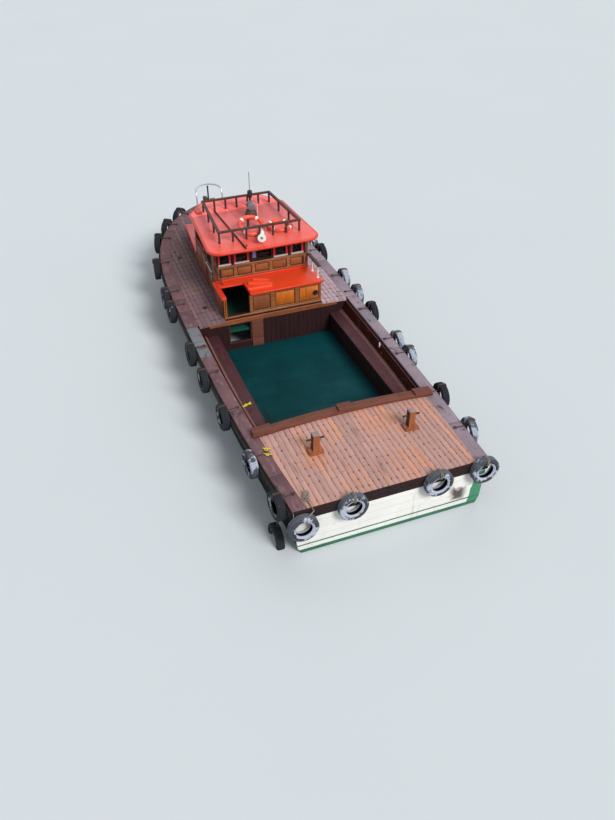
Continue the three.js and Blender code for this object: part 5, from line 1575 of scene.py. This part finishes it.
class LAUNCH_OT_fenders(LaunchOperator, bpy.types.Operator):
    """Builds the tyre fenders, the rubbing strakes and the ropes that hold them"""

    bl_idname = "launch.fenders"
    bl_label = "Fenders"

    side_tyres = {
        "starboard": (-5.74, -4.40, -2.74, -2.06, -0.57, 0.37, 1.27, 2.80, 3.36),
        "port": (-6.39, -5.07, -3.39, -1.91, -0.78, 1.25, 1.95, 3.50, 4.85, 5.60, 6.15),
    }
    tyre_wear = {"starboard": {1: HOLLOW, 4: HOLLOW, 7: HOLLOW}, "port": {1: BEAD}}
    # Port tyres take the darker finishes and starboard ones the paler: partly chalked rubber, partly
    # painted shade to port and painted light to starboard.
    side_finishes = {
        "starboard": "pale_tread tyre_face rubber strake dark_rope bead",
        "port": "rubber dark_face rubber strake dark_rope tyre_face",
    }
    strake_out = 0.075

    def execute(self, context):
        for side, sign in SIDES.items():
            self.side(side, sign)
        for number in range(1, 5):
            self.stern_tyre(number)
        return {"FINISHED"}

    def side(self, side, sign):
        fenders = Shape(f"{side}_fenders", copied=False)
        self.strake(fenders)
        for index, y in enumerate(self.side_tyres[side]):
            half, sheer = edge_at(y)
            turn = heading_at(y)
            axis = Vector((math.cos(turn), math.sin(turn), 0))
            out = self.strake_out * math.cos(turn) + sizes().tyre_half - 0.012
            centre = Vector((half, y, sheer - 0.155)) + axis * out
            place = tyre_place(centre, axis)
            before = set(fenders.bm.faces)
            fenders.tyre(place, index)
            if index in self.tyre_wear[side]:
                for face in set(fenders.bm.faces) - before:
                    face.material_index = self.tyre_wear[side][index]
            fenders.sling(place)
            inboard = Vector((half - 0.05, y, sheer + 0.010)) - axis * 0.14
            top = centre + UP * 0.165
            fenders.rod([top + axis * 0.02, top - axis * 0.10, inboard], 0.011, material=ROPE)
            fenders.ring(0.030, 0.012, inboard + UP * 0.006, 14, 8, 0.4, material=ROPE)
        if side == "port":
            self.low_tyre(fenders)
            fenders.mirror()
        fenders.make(f"{side}_fenders_tyres", self.side_finishes[side], "fender_rubber", smooth=40)

    def strake(self, fenders):
        """The rubbing strake along the side."""
        stations = []
        for y in stations_between(STERN_Y + 0.07, 6.45):
            half, sheer = edge_at(y)
            top, foot = sheer - 0.0603, sheer - 0.19
            stations.append([
                (half - 0.04, y, foot), (half + 0.070, y, foot + 0.012),
                (half + 0.070, y, top - 0.012), (half - 0.02, y, top),
            ])
        fenders.strip(stations, STRAKE)

    def low_tyre(self, fenders):
        """The tyre that hangs low at the port quarter, on a rope of its own."""
        y, z = -6.33, 0.06
        half, sheer = edge_at(y)
        centre = Vector((half + self.strake_out + sizes().tyre_half - 0.012, y, z))
        fenders.tyre(tyre_place(centre, Vector((1, 0, 0))), 7)
        fenders.rod([
            centre + UP * 0.17, (half + 0.115, y, z + 0.40), (half + 0.095, y, sheer - 0.25),
            (half + 0.085, y, sheer - 0.05), (half - 0.02, y, sheer + 0.012),
        ], 0.014, material=ROPE)

    def stern_tyre(self, number):
        tyre = Shape(f"stern_tyre_{number}", copied=False)
        axis = Vector((0, -1, 0))
        place = tyre_place(tyre.middle, axis)
        tyre.tyre(place, number * 3)
        if number != 1:
            tyre.sling(place)
            x, y, z = tyre.middle.x, STERN_Y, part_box("aft_deck")[0].z + 0.085
            top = tyre.middle + UP * 0.17
            tyre.rod([
                top - axis * 0.02, top - axis * 0.115, (x, y + 0.02, z + 0.01),
                (x - 0.01, y + 0.17, z),
            ], 0.012, material=ROPE)
            tyre.ring(0.026, 0.013, (x - 0.01, y + 0.18, z + 0.004), 14, 8, material=ROPE)
        finishes = "stern_tread tyre_face rubber strake grey_rope bead"
        tyre.make(f"stern_tyre_{number}_rubber", finishes, "fender_rubber", smooth=40)


class LAUNCH_OT_stage(LaunchOperator, bpy.types.Operator):
    """Sets the floor at the waterline, the soft lights and the camera"""

    bl_idname = "launch.stage"
    bl_label = "Stage"

    floor_half = 120
    camera_at = (-5.352, -16.224, 11.170)
    yaw, pitch, roll = 0.365341, 0.657227, -0.0038285

    def execute(self, context):
        self.floor(context.scene)
        self.lights(context.scene)
        self.camera(context.scene)
        return {"FINISHED"}

    def floor(self, scene):
        bm = bmesh.new()
        bmesh.ops.create_grid(bm, x_segments=1, y_segments=1, size=self.floor_half)
        mesh = bpy.data.meshes.new("floor")
        bm.to_mesh(mesh)
        bm.free()
        f = Finish("pale_floor", Specular_IOR_Level=0.2)
        mesh.materials.append(f.dress(f.shade("cfd3d5", f.noise(0.2) * 0.04 + 0.96), 0.8))
        floor = bpy.data.objects.new("floor", mesh)
        scene.collection.objects.link(floor)

    def lights(self, scene):
        world = bpy.data.worlds.new("sky")
        world.use_nodes = True
        background = world.node_tree.nodes["Background"]
        background.inputs["Color"].default_value = (*tint("e3ebf2"), 1.0)
        background.inputs["Strength"].default_value = 0.55
        scene.world = world
        for name, at, strength, spread in (("key", (5, -15, 13), 2.9, 22), ("rim", (6, 14, 12), 0.5, 50)):
            lamp = bpy.data.lights.new(name, "SUN")
            lamp.energy = strength
            lamp.angle = math.radians(spread)
            holder = bpy.data.objects.new(name, lamp)
            holder.matrix_world = turned_to(Vector(at), at)
            scene.collection.objects.link(holder)
        scene.view_settings.view_transform = "Standard"

    def camera(self, scene):
        lens = bpy.data.cameras.new("camera")
        lens.sensor_width = 36
        lens.lens = 33.91
        lens.clip_end = 400
        camera = bpy.data.objects.new("camera", lens)
        level, steep = math.cos(self.pitch), math.sin(self.pitch)
        ahead = Vector((math.sin(self.yaw) * level, math.cos(self.yaw) * level, -steep))
        right = Vector((math.cos(self.yaw), -math.sin(self.yaw), 0))
        above = right.cross(ahead)
        across = right * math.cos(self.roll) + above * math.sin(self.roll)
        upward = above * math.cos(self.roll) - right * math.sin(self.roll)
        turn = Matrix((across, upward, -ahead)).transposed().to_4x4()
        camera.matrix_world = Matrix.Translation(self.camera_at) @ turn
        scene.collection.objects.link(camera)
        scene.camera = camera


class LAUNCH_PT_panel(bpy.types.Panel):
    """Lists the launch's operators and settings"""

    bl_label = "Supply launch"
    bl_idname = "LAUNCH_PT_panel"
    bl_space_type = "VIEW_3D"
    bl_region_type = "UI"
    bl_category = "Launch"

    def draw(self, context):
        for operator in OPERATORS:
            self.layout.operator(operator.bl_idname)
        for group in (context.scene.launch_sizes, context.scene.launch_colours):
            box = self.layout.box()
            for name in group.bl_rna.properties.keys():
                if name not in ("rna_type", "name"):
                    box.prop(group, name)


OPERATORS = (
    LAUNCH_OT_hull,
    LAUNCH_OT_decks,
    LAUNCH_OT_coaming,
    LAUNCH_OT_well,
    LAUNCH_OT_lower_house,
    LAUNCH_OT_wheelhouse,
    LAUNCH_OT_roof,
    LAUNCH_OT_bow,
    LAUNCH_OT_running_gear,
    LAUNCH_OT_fenders,
    LAUNCH_OT_stage,
)
CLASSES = (LaunchSizes, LaunchColours, *OPERATORS, LAUNCH_PT_panel)


def register():
    for cls in CLASSES:
        bpy.utils.register_class(cls)
    bpy.types.Scene.launch_sizes = PointerProperty(type=LaunchSizes)
    bpy.types.Scene.launch_colours = PointerProperty(type=LaunchColours)


def unregister():
    del bpy.types.Scene.launch_colours
    del bpy.types.Scene.launch_sizes
    for cls in reversed(CLASSES):
        bpy.utils.unregister_class(cls)


def main():
    register()
    for operator in OPERATORS:
        group, name = operator.bl_idname.split(".")
        getattr(getattr(bpy.ops, group), name)()


if __name__ == "__main__":
    main()
